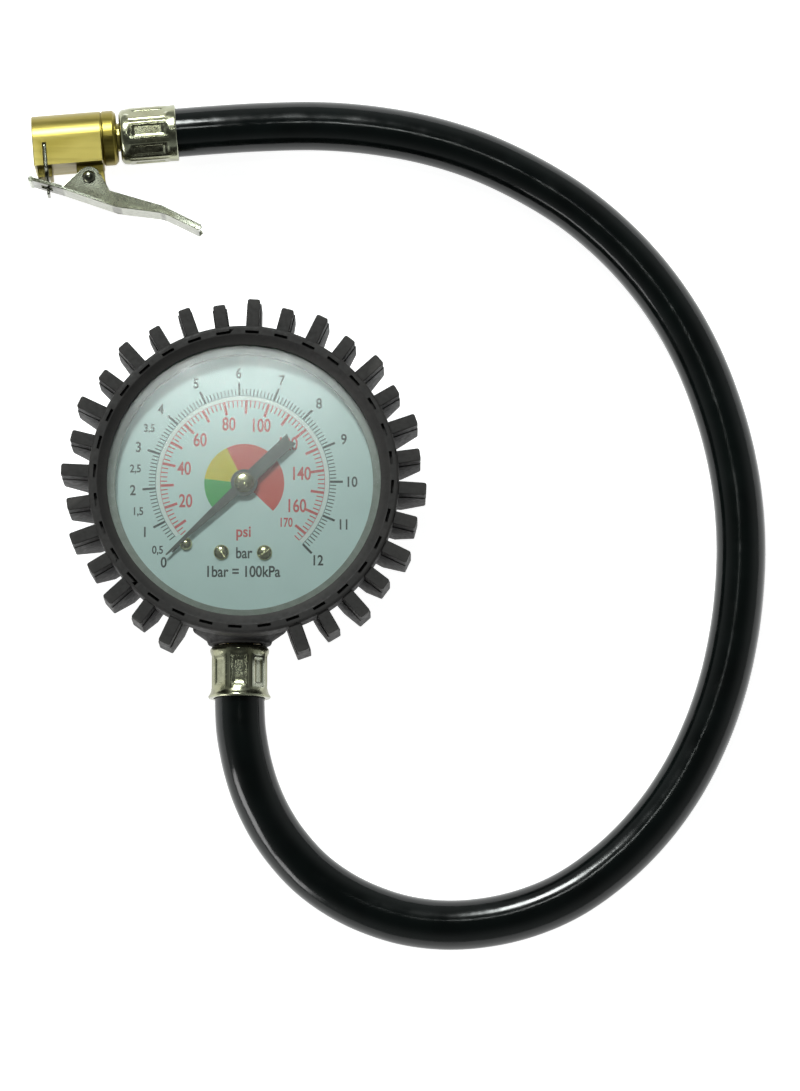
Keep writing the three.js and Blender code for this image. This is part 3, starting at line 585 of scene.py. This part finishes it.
def nickel_plate():
    s = Shader("nickel_plate", (0.15, 0.155, 0.115), 0.2, 1.0)
    s.mottled((0.10, 0.10, 0.07), scale=180, detail=3)
    s.rough(s.noise(600, 3), 0.14, 0.3)
    s.bump(s.noise(300, 2), 0.006, 0.4)
    # edges painted lighter: a painted highlight
    s.worn((0.50, 0.52, 0.43), 0.5, 0.7)
    return s.done()


def sheet_steel():
    s = Shader("sheet_steel", (0.55, 0.55, 0.53), 0.32, 1.0)
    s.mottled((0.46, 0.46, 0.44), scale=260, detail=4)
    s.rough(s.noise(900, 3), 0.25, 0.42)
    s.bump(s.noise(1400, 3), 0.01, 0.5)
    return s.done()


def dial_enamel():
    s = Shader("dial_enamel", (0.67, 0.79, 0.78), 0.45)
    s.mottled((0.70, 0.82, 0.82), scale=28, detail=2)
    s.mottled((0.60, 0.72, 0.71), scale=1500, detail=2, share=0.25)
    s.rough(s.noise(600, 2), 0.4, 0.55)
    s.bump(s.noise(1800, 2), 0.004, 0.4)
    return s.done()


def ink(name, colour, second):
    """Printing ink, a little uneven in its density."""
    s = Shader(name, colour, 0.5)
    s.mottled(second, scale=900, detail=3)
    s.rough(s.noise(1200, 2), 0.42, 0.6)
    return s.done()


def pointer_paint():
    s = Shader("pointer_paint", (0.055, 0.055, 0.048), 0.42)
    s.mottled((0.080, 0.083, 0.072), scale=380, detail=3)
    s.rough(s.noise(900, 3), 0.34, 0.52)
    s.bump(s.noise(1600, 3), 0.008, 0.5)
    # edges painted lighter: a painted highlight
    s.worn((0.22, 0.22, 0.19), 0.4, 0.5)
    return s.done()


def gasket_rubber():
    s = Shader("gasket_rubber", (0.30, 0.31, 0.28), 0.6)
    s.mottled((0.24, 0.25, 0.22), scale=500, detail=3)
    s.rough(s.noise(800, 3), 0.5, 0.7)
    s.bump(s.noise(1500, 3), 0.02, 0.5)
    return s.done()


def seal_rubber():
    s = Shader("seal_rubber", (0.018, 0.018, 0.018), 0.6)
    s.mottled((0.03, 0.03, 0.03), scale=500, detail=3)
    s.rough(s.noise(800, 3), 0.5, 0.7)
    s.bump(s.noise(1800, 3), 0.02, 0.5)
    return s.done()


def lens_plastic():
    """Clear moulded window: what is behind it shows through, and it mirrors by Fresnel, blurred a little."""
    material = bpy.data.materials.new("lens_plastic")
    material.use_nodes = True
    nodes, links = material.node_tree.nodes, material.node_tree.links
    nodes.remove(nodes["Principled BSDF"])
    place = nodes.new("ShaderNodeTexCoord").outputs["Object"]
    noise = nodes.new("ShaderNodeTexNoise")
    noise.inputs["Scale"].default_value = 240
    links.new(place, noise.inputs["Vector"])
    rough = nodes.new("ShaderNodeMapRange")
    rough.inputs["To Min"].default_value = 0.10
    rough.inputs["To Max"].default_value = 0.20
    links.new(noise.outputs["Fac"], rough.inputs["Value"])
    fresnel = nodes.new("ShaderNodeFresnel")
    fresnel.inputs["IOR"].default_value = 1.5
    clear = nodes.new("ShaderNodeBsdfTransparent")
    clear.inputs["Color"].default_value = (0.955, 0.985, 0.975, 1)
    gloss = nodes.new("ShaderNodeBsdfGlossy")
    links.new(rough.outputs["Result"], gloss.inputs["Roughness"])
    mix = nodes.new("ShaderNodeMixShader")
    links.new(fresnel.outputs["Fac"], mix.inputs["Fac"])
    links.new(clear.outputs["BSDF"], mix.inputs[1])
    links.new(gloss.outputs["BSDF"], mix.inputs[2])
    links.new(mix.outputs["Shader"], nodes["Material Output"].inputs["Surface"])
    return material


# ---------------------------------------------------------------- rubber boot


def boot_ring():
    """The boot's body: closed back, drawn-in sides, front ring and the lip over the lens."""
    outer = [
        (0, 0), (34.5, 0), (36.5, 2.0), (37.6, 22.6), (RING_R, 25.6), (RING_R, BOOT_TOP),
        (37.9, BOOT_TOP), (37.5, BOOT_TOP - 0.35), (LIP_R, LIP_Z + 0.5), (LIP_R, LIP_Z),
    ]
    smooth = fillet(outer, 0.8, 4, closed=False, keep=(7, 8, 9))
    back = [(32.9, BACK_THICKNESS), (0, BACK_THICKNESS)]
    return turned("boot", smooth + case_cavity() + back, 192)


def case_cavity():
    """Profile of the cavity for the case and its flange, from under the lip to the floor."""
    return [(FLANGE_R, LIP_Z), (FLANGE_R, FLANGE_Z), (CASE_R, FLANGE_Z), (CASE_R, CASE_FLOOR)]


def lug_cap(tip):
    """The lug's flat top, with a rounded tip."""
    root, half = 39.2, LUG_WIDTH / 2
    plan = [(root, -half), (tip, -half * 0.96), (tip, half * 0.96), (root, half)]
    return prism("lug_cap", fillet(plan, 0.7, 4, keep=(0, 3)), 24.0, LUG_TOP, 0.25, 2)


def lug_wedge(tip):
    """The lug's body under its top: wider than the top, and deep at its root."""
    end, top = tip - 0.1, 28.0
    side = [(36.9, 6.8), (41.0, 5.4), (end, 15.8), (end, top), (39.3, top), (39.3, 24.0), (37.2, 21.0)]
    half = LUG_WIDTH / 2 + 0.2
    wedge = prism("lug_wedge", fillet(side, 0.6, 3, keep=(0, 4, 5, 6)), -half, half, 0.3, 2)
    wedge.data.transform(Matrix.Rotation(90 * DEG, 4, "X"))
    return wedge


def boot_neck():
    """Collar round the gauge's stem, where the hose's ferrule starts."""
    outline = [
        (0, NECK_END), (8.2, NECK_END), (8.5, -40.2), (12.2, -37.6), (12.2, -36.2), (0, -36.2),
    ]
    return shifted(turned("neck", fillet(outline, 1.0, 5, closed=False), 96, "Y"), STEM_X, 0, STEM_Z)


def make_boot(material):
    caps, wedges, pockets = [], [], []
    for slot in range(SLOTS):
        turn = Matrix.Rotation((slot * 360 / SLOTS + TREAD_TWIST) * DEG, 4, "Z")
        half = POCKET_WIDTH / 2
        for near, floor in POCKET_STEPS:
            pocket = block("pocket", (near, -half, floor), (POCKET_OUTER_R, half, BOOT_TOP + 1))
            pockets.append(moved(pocket, turn))
        if slot in BARE_SLOTS:
            continue
        tip = LUG_SHORT_R if slot % 2 else LUG_LONG_R
        caps.append(moved(lug_cap(tip), turn))
        wedges.append(moved(lug_wedge(tip), turn))
    cavity = turned("cavity", [(0, CASE_FLOOR), *case_cavity()[::-1], (0, LIP_Z)], 192)
    stem_hole = bar_along("stem_hole", STEM_HOLE_R, NECK_END - 1.7, -30, "Y", (STEM_X, STEM_Z))
    boot = worked(boot_ring(), [joined("wedges", wedges), joined("caps", caps), boot_neck()],
                  [joined("pockets", pockets), cavity, stem_hole])
    return finished(boot, material, "gauge", "boot_rubber", "rubber_boot")


# ---------------------------------------------------------------- dial, lens, pointer


def make_lens(material):
    outline = [(0, LENS_BACK), (LENS_R, LENS_BACK), (LENS_R, LENS_TOP), (0, LENS_TOP)]
    lens = turned("lens_window", fillet(outline, 0.3, 3, closed=False), 128)
    return finished(lens, material, "gauge", "lens_clear", "lens")


def make_gasket(material):
    bottom, top = low("lens_gasket").z, high("lens_gasket").z
    inner, outer = DIAL_R - 0.2, high("lens_gasket").x
    profile = fillet([(inner, bottom), (outer, bottom), (outer, top), (inner, top)], 0.25, 3)
    return finished(turned("gasket_ring", profile, 128), material, "gauge", "gasket_white", "lens_gasket")


def make_dial(material):
    hole_r = 1.6
    profile = [(hole_r, DIAL_BACK), (DIAL_R, DIAL_BACK), (DIAL_R, DIAL_TOP), (hole_r, DIAL_TOP)]
    face = turned("dial_face", fillet(profile, 0.12, 2), 160)
    below, above = 24, 27
    holes = [bar_along("hole", 1.15, below, above, "Z", place, 32) for place in SCREW_PLACES]
    holes.append(bar_along("hole", 0.75, below, above, "Z", STOP_PLACE, 32))
    return finished(worked(face, [], holes), material, "gauge", "dial_print", "dial_plate")


def printed(name, shapes, material, centre=PRINT_CENTRE):
    """Flat printing on the dial: outlines made into a thin layer of ink."""
    bottom = DIAL_TOP + INK_LIFT
    parts = [shifted(prism(name, shape, bottom, bottom + INK_THICKNESS), *centre) for shape in shapes]
    return finished(joined(name, parts), material, "gauge", "dial_print")


def tick(angle, inner, outer, width):
    """A radial stroke of even width."""
    along, across = Vector(polar(1, angle)), Vector(polar(width / 2, angle + 90))
    return [tuple(along * r + across * s) for r, s in ((inner, -1), (outer, -1), (outer, 1), (inner, 1))]


def band(inner, outer, start, end, steps=120):
    """A stretch of a flat ring."""
    return arc(outer, start, end, steps) + arc(inner, end, start, steps)


def bar_angle(bars):
    """Where the bar scale has the given pressure."""
    return SCALE_START - SCALE_SWEEP * bars / BARS


def label(text, x, y, height, narrow=0.84, weight=0.02):
    """Lettering of the given figure height, centred on a place beside the middle of the print."""
    half_thickness = 0.5
    curve = bpy.data.curves.new("label", "FONT")
    curve.body = text
    curve.extrude = half_thickness
    curve.offset = weight
    text_object = placed("label", curve)
    mesh = evaluated_mesh(text_object)
    bpy.data.objects.remove(text_object)
    left = min(v.co.x for v in mesh.vertices)
    right = max(v.co.x for v in mesh.vertices)
    scale = height / FIGURE_HEIGHT
    for vertex in mesh.vertices:
        across = (vertex.co.x - (left + right) / 2) * scale * narrow
        up = vertex.co.y * scale - height / 2
        layer = DIAL_TOP + INK_LIFT + (1 + vertex.co.z / half_thickness) * INK_THICKNESS / 2
        vertex.co = Vector((PRINT_CENTRE[0] + x + across, PRINT_CENTRE[1] + y + up, layer)) * MM
    return tidy_normals(placed("label", mesh))


def make_scales(black, red, white):
    """Bar scale outside the white arc, and psi scale inside it."""
    end = SCALE_START - SCALE_SWEEP
    zero_mark = tick(225.6, BAR_TICK_R, 26.0, 0.5)
    bar_marks = [zero_mark, band(*BAR_LINE, ARC_START, end)]
    for tenth in range(5, BARS * 10 + 1):
        outer, width = (24.4, 0.26) if tenth % 10 else (26.1, 0.6)
        bar_marks.append(tick(bar_angle(tenth / 10), BAR_TICK_R, outer, width))
    psi_marks = [band(*PSI_LINE, ARC_START, end)]
    for psi in range(6, int(BARS * PSI_PER_BAR) + 1, 2):
        inner, width = (19.6, 0.3) if psi % 10 else (17.9, 0.68)
        psi_marks.append(tick(bar_angle(psi / PSI_PER_BAR), inner, PSI_LINE[0], width))
    printed("scale_bar", bar_marks, black)
    printed("scale_psi", psi_marks, red)
    printed("scale_arc", [band(*WHITE_ARC, ARC_START, end)], white)


def make_bar_figures(material):
    figures = [label("0", -20.4, -21.2, 2.6)]
    figures += [label(str(n), *polar(28.6, bar_angle(n)), 2.6) for n in range(1, BARS + 1)]
    for half, radius in ((0.5, 28.4), (1.5, 28.1), (2.5, 28.1), (3.5, 28.1)):
        figures.append(label(str(half).replace(".", ","), *polar(radius, bar_angle(half)), 2.0))
    figures.append(label("bar", 0.5, -18.7, 2.8, 0.8))
    figures.append(label("1bar = 100kPa", 0.4, -23.6, 2.8, 0.82))
    finished(joined("figures_bar", figures), material, "gauge", "dial_print")


def make_psi_figures(material):
    figures = [label(str(n), *polar(15.6, bar_angle(n / PSI_PER_BAR)), 3.3, 0.74) for n in range(20, 161, 20)]
    figures.append(label("170", *polar(15.7, bar_angle(172 / PSI_PER_BAR)), 2.3, 0.72))
    figures.append(label("psi", 0.3, -13.1, 2.8, 0.9))
    finished(joined("figures_psi", figures), material, "gauge", "dial_print")


def make_dial_sectors(green, yellow, red):
    for name, start, end, material in (
        ("sector_green", 225, 173.2, green),
        ("sector_yellow", 173.2, 116.2, yellow),
        ("sector_red", 116.2, -44, red),
    ):
        printed(name, [[*arc(SECTORS_R, start, end, 60), *arc(1.7, end, start, 12)]], material, (0, 0))


def make_pointer(material):
    """Tapered needle, round hub and a broad tail with a notched end."""
    needle_half, tail_half = 1.25, 1.7
    needle = math.degrees(math.asin(needle_half / POINTER_HUB_R))
    tail = math.degrees(math.asin(tail_half / POINTER_HUB_R))
    outline = [
        (27.9, 0), (27.6, 0.22), *arc(POINTER_HUB_R, needle, 180 - tail, 18), (-16.9, 1.75), (-16.1, 0),
        (-16.9, -1.75), *arc(POINTER_HUB_R, 180 + tail, 360 - needle, 18), (27.6, -0.22),
    ]
    pointer = prism("pointer_blade", outline, POINTER_BACK, POINTER_TOP, 0.07, 2)
    worked(pointer, [], [bar_along("hole", 1.2, 25, 29, "Z", (0, 0), 32)])
    moved(pointer, Matrix.Rotation(POINTER_REST * DEG, 4, "Z"))
    return finished(pointer, material, "pointer_shaft", "pointer_paint", "pointer")


def dome(radius, bottom, height, last=90, step=9):
    """Profile points up a low dome, short of its middle."""
    return [(radius * math.cos(a * DEG), bottom + height * math.sin(a * DEG)) for a in range(0, last, step)]


def make_pointer_cap(material):
    bottom, top = low("pointer_cap").z, high("pointer_cap").z
    rim = bottom + 0.25
    dimple = [(0.62, top - 0.02), (0.5, top - 0.14), (0.25, top - 0.2), (0, top - 0.22)]
    profile = [
        (0, bottom + 0.5), (0.9, bottom + 0.5), (0.9, bottom), (2.5, bottom),
        *dome(2.63, rim, top - rim, 76, 6), *dimple,
    ]
    cap = turned("pointer_hub_cap", profile, 64)
    return finished(cap, material, "pointer_shaft", "movement_brass", "pointer_cap")


def dome_screw(name, place, radius, height, seat, depth, slot_turn=None):
    """A round head on a shank that goes down through the dial, with a shallow slot if slot_turn is given."""
    shank, rim = 0.45 * radius, 0.12
    profile = [
        (0, seat - depth), (shank, seat - depth), (shank, seat), (radius, seat),
        *dome(radius, seat + rim, height - rim), (0, seat + height),
    ]
    screw = turned(name, profile, 48)
    if slot_turn is not None:
        slot = block("slot", (-radius - 1, -0.2, seat + height * 0.5), (radius + 1, 0.2, seat + height + 1))
        moved(slot, Matrix.Rotation(slot_turn * DEG, 4, "Z"))
        worked(screw, [], [slot])
    return shifted(screw, *place)


def make_dial_hardware(material):
    seat = DIAL_TOP + 0.1
    for side, place, turn in (("left", SCREW_PLACES[0], -50), ("right", SCREW_PLACES[1], 35)):
        node = f"dial_screw_{side}"
        height, depth = high(node).z - seat, seat - low(node).z
        screw = dome_screw(f"round_screw_{side}", place, 2.0, height, seat, depth, turn)
        finished(screw, material, "gauge", "movement_brass", node)
    seat = DIAL_TOP + 0.05
    stop = dome_screw("stop_stud", STOP_PLACE, 1.66, high("stop_pin").z - seat, seat, 1.6)
    finished(stop, material, "gauge", "movement_brass", "stop_pin")


# ---------------------------------------------------------------- ferrules


def step(x, start, end):
    """Smooth step from 0 to 1."""
    t = min(max((x - start) / (end - start), 0), 1)
    return t * t * (3 - 2 * t)


def ferrule_outline(h, length, shoulder_r, lip_r):
    """The sleeve's radius before it is crimped: a round shoulder at its start and a flared lip at its end."""
    if h < SHOULDER_LENGTH:
        rounding = 0.9 * (1 - min(h / 1.1, 1)) ** 2
        return shoulder_r - rounding - (shoulder_r - SLEEVE_R) * max(0.0, h - 1.1) / 1.6
    flare = min(max(0.0, h - (length - 2.1)) / 1.6, 1)
    curl = max(0.0, (h - (length - 0.3)) / 0.3)
    return SLEEVE_R + (lip_r - SLEEVE_R) * flare ** 1.6 - 0.18 * curl ** 2


def crimped_ferrule(name, length, shoulder_r, lip_r):
    """A crimped sleeve along +Z: round shoulder, pressed panels and a flared lip."""
    around = 320
    panel_start, panel_end = SHOULDER_LENGTH + 0.3, length - 2.9
    heights = [0.0, 0.12, 0.35, 0.7, 1.1, 1.6, 2.0, 2.3, SHOULDER_LENGTH]
    heights += [panel_start + (panel_end - panel_start) * i / 30 for i in range(31)]
    heights += [length - left for left in (2.5, 2.1, 1.7, 1.3, 0.95, 0.7, 0.5, 0.3, 0.12, 0)]

    def radius(h, degrees):
        base = ferrule_outline(h, length, shoulder_r, lip_r)
        side = abs(degrees % (360 / PANELS) - 180 / PANELS)
        facet = FACET_R / math.cos(min(side, 19) * DEG)
        flat_share = (1 - step(side, 16.5, 20)) * step(h, 1.8, 3.0)
        flat_share *= 1 - step(h, length - 2.9, length - 2.0)
        pressed = (1 - step(side, 9.5, 11.5)) * step(h, panel_start + 0.5, panel_start + 0.9)
        pressed *= 1 - step(h, panel_end - 0.9, panel_end - 0.5)
        return base + (facet - base) * flat_share - 0.2 * pressed

    angles = [360 * s / around for s in range(around)]
    verts = [(*polar(radius(h, angle), angle), h) for h in heights for angle in angles]
    inside = ((SLEEVE_BORE, length), (SLEEVE_BORE, 1.0), (NIPPLE_HOLE_R, 1.0), (NIPPLE_HOLE_R, 0.0))
    verts += [(*polar(inner_r, angle), h) for inner_r, h in inside for angle in angles]
    rows = len(heights) + len(inside)
    faces = []
    for row in range(rows):
        a, b = row * around, ((row + 1) % rows) * around
        for s in range(around):
            t = (s + 1) % around
            faces.append((a + s, a + t, b + t, b + s))
    return mesh_object(name, verts, faces)


def make_ferrules(material):
    half_panel = Matrix.Rotation(180 / PANELS * DEG, 4, "Z")
    top = high("gauge_ferrule").y
    length = top - low("gauge_ferrule").y
    at_gauge = crimped_ferrule("ferrule_gauge", length, 7.75, high("gauge_ferrule").x - STEM_X)
    moved(at_gauge, Matrix.Rotation(90 * DEG, 4, "X") @ half_panel)
    shifted(at_gauge, STEM_X, top, STEM_Z)
    finished(at_gauge, material, "gauge", "zinc_plate", "gauge_ferrule", sharp=50)

    start, end = CHUCK_FERRULE
    at_chuck = crimped_ferrule("ferrule_chuck", end - start, 7.3, 7.5)
    moved(at_chuck, Matrix.Rotation(90 * DEG, 4, "Y") @ half_panel)
    moved(at_chuck, CHUCK_FRAME @ Matrix.Translation((start, 0, 0)))
    finished(at_chuck, material, "gauge", "zinc_plate", "chuck_ferrule", sharp=50)
    return at_gauge, at_chuck


# ---------------------------------------------------------------- chuck


def cross_prism(name, outline, start, end, edge=0.0):
    """A plate across the chuck's axis: an outline of (z, y) points between two places on X."""
    plate = prism(name, [(-z, y) for z, y in outline], start, end, edge)
    plate.data.transform(Matrix.Rotation(90 * DEG, 4, "Y"))
    return plate


def make_chuck_body(material):
    """Round on top and flat below, with a collar, a foot by the mouth and an ear for the lever."""
    section = [(-CHUCK_R, -CHUCK_R), (CHUCK_R, -CHUCK_R), *arc(CHUCK_R, 0, 180, 48)]
    body = cross_prism("chuck_housing", section, 0, CHUCK_BODY_END, 0.3)
    groove_r, groove_end, chamfer = CHUCK_R - 0.35, CHUCK_BODY_END + 0.15, 0.9
    collar_outline = [
        (0, CHUCK_BODY_END - 1), (groove_r, CHUCK_BODY_END - 1), (groove_r, groove_end),
        (CHUCK_R, groove_end + 0.3), (CHUCK_R, CHUCK_END - chamfer),
        (CHUCK_R - chamfer, CHUCK_END), (0, CHUCK_END),
    ]
    collar = turned("collar", fillet(collar_outline, 0.2, 3, closed=False, keep=(1, 2)), 96, "X")
    foot = block("foot", (0.7, -9.9, -4), (4.6, -7, 4), 0.2)
    ear_outline = [(11, -13.3), (14.5, -14), (18.9, -14.6), (18.2, -10.8), (18.2, -7), (11, -7)]
    ear = prism("ear", fillet(ear_outline, 0.6, 4), -3.5, 3.5, 0.25)
    cuts = [
        turned("mouth", [(0, -1), (4.9, -1), (4.9, 0), (4.3, 0.6), (4.3, 14.3), (0, 14.3)], 64, "X"),
        bar_along("bore", 2.0, 14, 16.5),
        bar_along("thread", 4.1, 16.1, CHUCK_END + 1),
        block("claw_slot", (2.55, -12, -9), (3.65, -1.2, 9)),
        block("spring_slot", (10, -16, -1.5), (20, -7.6, 1.5)),
        bar_along("rivet_hole", 1.4, -6, 6, "Z", RIVET, 48),
    ]
    worked(body, [collar, foot, ear], cuts)
    moved(body, CHUCK_FRAME)
    return finished(body, material, "gauge", "brass_body", "chuck_body", sharp=28)


def make_claw(material):
    """A fork across the valve's mouth, with a T-shaped tail that hangs in the lever's slot."""
    half = [(1.7, -10.3), (4.4, -9.4), (6.9, -7.9), (6.9, -1.6)]
    tail = [(-1.7, -13.3), (-2.6, -13.3), (-2.6, -14.4), (2.6, -14.4), (2.6, -13.3), (1.7, -13.3)]
    throat = arc(4.0, -30, -150, 32, (0, 0.4))
    outline = fillet([*((-x, y) for x, y in half[::-1]), *tail, *half, *throat], 0.35, 3)
    claw = moved(cross_prism("claw_fork", outline, 2.75, 3.45, 0.12), CHUCK_FRAME)
    return finished(claw, material, "claw", "nickel_plate", "claw_plate")


def make_lever(material):
    """Stamped channel: a bent web with a cheek on each side, and a handle turned down at its end."""
    outer = [(-1.2, -10.6), (6.6, -13.5), (20.8, -19.7), (33, -22.3), (41.9, -27.6)]
    flange = [*outer[1:], (42.9, -26.9), (42.7, -26.1), (33, -20.2), (19.4, -15), (17.3, -10.4)]
    flange += arc(2.9, 10, 130, 16, RIVET) + [(6.6, -13.2)]
    inner = [(x + 0.36, y + 0.9) for x, y in outer][::-1]
    half, rim = LEVER_HALF, 0.18
    parts = [
        prism("cheek", flange, -half, LEVER_SHEET - half, rim),
        prism("cheek", flange, half - LEVER_SHEET, half, rim),
        bar_along("tip", 0.75, -half, half, "Z", (-1.2, -10.2), 32),
    ]
    web = prism("lever_arm", fillet([*outer, *inner], 1.6, 5, keep=(0, 4, 5, 9)), -half, half, rim)
    cuts = [
        block("tail_slot", (1.3, -16, -2.1), (4.2, -8, 2.1)),
        bar_along("hole", 1.45, -9, 9, "Z", RIVET, 48),
    ]
    worked(web, parts, cuts)
    moved(web, CHUCK_FRAME)
    return finished(web, material, "lever", "nickel_plate", "lever", sharp=25)


def make_rivet(material):
    """Round head on the side that is seen, and a flatter peened end."""
    seat, shank = LEVER_HALF + 0.15, 1.3
    profile = [
        (0, -seat - 1.0), (1.0, -seat - 0.9), (1.65, -seat - 0.3), (1.7, -seat),
        (shank, -seat), (shank, seat), (1.75, seat), *dome(1.75, seat + 0.1, 1.0), (0, seat + 1.1),
    ]
    rivet = moved(shifted(turned("rivet_pin", profile, 48), *RIVET), CHUCK_FRAME)
    return finished(rivet, material, "gauge", "nickel_plate", "lever_rivet")


def make_lever_spring(material):
    """Torsion spring round the rivet: one leg under the body, the other on the lever's web."""
    half, coil_r, first, last, steps = 1.0, 2.1, 90, 940, 120
    route = [Vector((17.6, -8.5, half))]
    for i in range(steps + 1):
        x, y = polar(coil_r, first + (last - first) * i / steps)
        route.append(Vector((RIVET[0] + x, RIVET[1] + y, half - 2 * half * i / steps)))
    route.append(Vector((12.55, -14.7, -half)))
    coil = wire("return_spring_wire", [CHUCK_FRAME @ place for place in route], 0.28, 3)
    spring = placed("return_spring", evaluated_mesh(coil))
    bpy.data.objects.remove(coil)
    return finished(spring, material, "gauge", "sheet_steel", "lever_spring", sharp=60)


def make_chuck_seal(material):
    ring = fillet([(1.6, 10.6), (4.0, 10.6), (4.0, 13.0), (1.6, 13.0)], 0.5, 4)
    seal = moved(turned("seal_ring", ring, 64, "X"), CHUCK_FRAME)
    return finished(seal, material, "gauge", "seal_rubber", "chuck_seal")


def make_depressor(material):
    """A disc with three air holes and the stalk that opens the valve."""
    disc = bar_along("depressor", 4.0, 13.3, 14.1)
    stalk = turned("stalk", [(0, 7.9), (0.45, 7.9), (0.7, 8.25), (0.75, 13.5), (0, 13.5)], 32, "X")
    holes = [bar_along("hole", 0.6, 13, 15, "X", polar(1.9, turn), 24) for turn in (90, 210, 330)]
    pin = moved(worked(disc, [stalk], holes), CHUCK_FRAME)
    return finished(pin, material, "gauge", "brass_body", "depressor_pin")


# ---------------------------------------------------------------- stage and light


def make_floor():
    """A white table just under the object, bright enough to leave hardly any shadow."""
    half, top = 3000, -0.05
    verts = [(-half, -half, top), (half, -half, top), (half, half, top), (-half, half, top)]
    floor = mesh_object("table_top", verts, [(0, 1, 2, 3)])
    s = Shader("table_white", (0.55, 0.55, 0.55), 0.8)
    s.mottled((0.57, 0.57, 0.57), scale=6, detail=2)
    floor.data.materials.append(s.done())
    s.shader.inputs["Specular IOR Level"].default_value = 0
    s.shader.inputs["Emission Color"].default_value = (1, 1, 1, 1)
    s.shader.inputs["Emission Strength"].default_value = 0.92


def soft_light(name, place, aim, width, height, power, colour=(1, 1, 1)):
    data = bpy.data.lights.new(name, "AREA")
    data.shape = "RECTANGLE"
    data.size = width * MM
    data.size_y = height * MM
    data.energy = power
    data.color = colour
    light = placed(name, data)
    light.location = Vector(place) * MM
    light.rotation_euler = (Vector(aim) - Vector(place)).to_track_quat("-Z", "Y").to_euler()


def make_world():
    """A studio that is dark overhead and pale towards its walls."""
    world = bpy.data.worlds.new("studio")
    world.use_nodes = True
    nodes, links = world.node_tree.nodes, world.node_tree.links
    parts = nodes.new("ShaderNodeSeparateXYZ")
    links.new(nodes.new("ShaderNodeTexCoord").outputs["Generated"], parts.inputs["Vector"])
    height = nodes.new("ShaderNodeMapRange")
    height.interpolation_type = "SMOOTHSTEP"
    height.inputs["From Min"].default_value = 0.25
    height.inputs["From Max"].default_value = 0.95
    height.inputs["To Min"].default_value = 0.48
    height.inputs["To Max"].default_value = 0.07
    links.new(parts.outputs["Z"], height.inputs["Value"])
    background = nodes["Background"]
    background.inputs["Color"].default_value = (0.94, 1.0, 0.98, 1)
    links.new(height.outputs["Result"], background.inputs["Strength"])
    bpy.context.scene.world = world


def make_light():
    """A key light from behind, a strip that the window over the dial mirrors, and a low fill."""
    make_world()
    soft_light("key", (-260, 900, 1100), (20, 0, 0), 380, 380, 24, (0.95, 1.0, 0.98))
    soft_light("haze", (-35, 262, 1250), (0, 0, 0), 130, 60, 0.5, (0.94, 1.0, 0.97))
    soft_light("low_left", (-700, -620, 260), (0, 0, 20), 500, 300, 4)
    bpy.context.scene.view_settings.view_transform = "Standard"


# ---------------------------------------------------------------- assembly

make_camera()

BRASS = satin_brass()
INNER_BRASS = movement_brass()
BRIGHT_BRASS = bright_brass()
ZINC = zinc_plate()
NICKEL = nickel_plate()
STEEL = sheet_steel()
BLACK_INK = ink("ink_black", (0.045, 0.05, 0.05), (0.08, 0.085, 0.085))
RED_INK = ink("ink_red", (0.62, 0.085, 0.085), (0.68, 0.14, 0.13))
WHITE_INK = ink("ink_white", (0.86, 0.88, 0.86), (0.80, 0.82, 0.80))
GREEN_INK = ink("ink_green", (0.035, 0.38, 0.065), (0.05, 0.42, 0.08))
YELLOW_INK = ink("ink_yellow", (0.72, 0.56, 0.012), (0.76, 0.6, 0.025))
SECTOR_RED = ink("ink_sector_red", (0.68, 0.085, 0.06), (0.72, 0.11, 0.08))

hose = make_hose(hose_rubber())
make_boot(boot_rubber())
make_lens(lens_plastic())
make_gasket(gasket_rubber())
make_dial(dial_enamel())
make_scales(BLACK_INK, RED_INK, WHITE_INK)
make_bar_figures(BLACK_INK)
make_psi_figures(RED_INK)
make_dial_sectors(GREEN_INK, YELLOW_INK, SECTOR_RED)
make_pointer(pointer_paint())
make_pointer_cap(BRIGHT_BRASS)
make_dial_hardware(BRIGHT_BRASS)
ferrules = make_ferrules(ZINC)
chuck_pieces = [
    make_chuck_body(BRASS), make_claw(NICKEL), make_lever(NICKEL), make_rivet(NICKEL),
    make_lever_spring(STEEL), make_chuck_seal(seal_rubber()), make_depressor(BRASS),
]

SLOT_MATERIALS = {"sheet_steel": STEEL, "movement_brass": INNER_BRASS, "brass_body": BRASS}
slots = {part["node"]: part["material_slot"] for part in frame["record"]["subparts"]}
for node, obj in frame["nodes"].items():
    if not obj.hide_render:
        obj.data.materials.clear()
        obj.data.materials.append(SLOT_MATERIALS[slots[node]])

make_floor()
make_light()
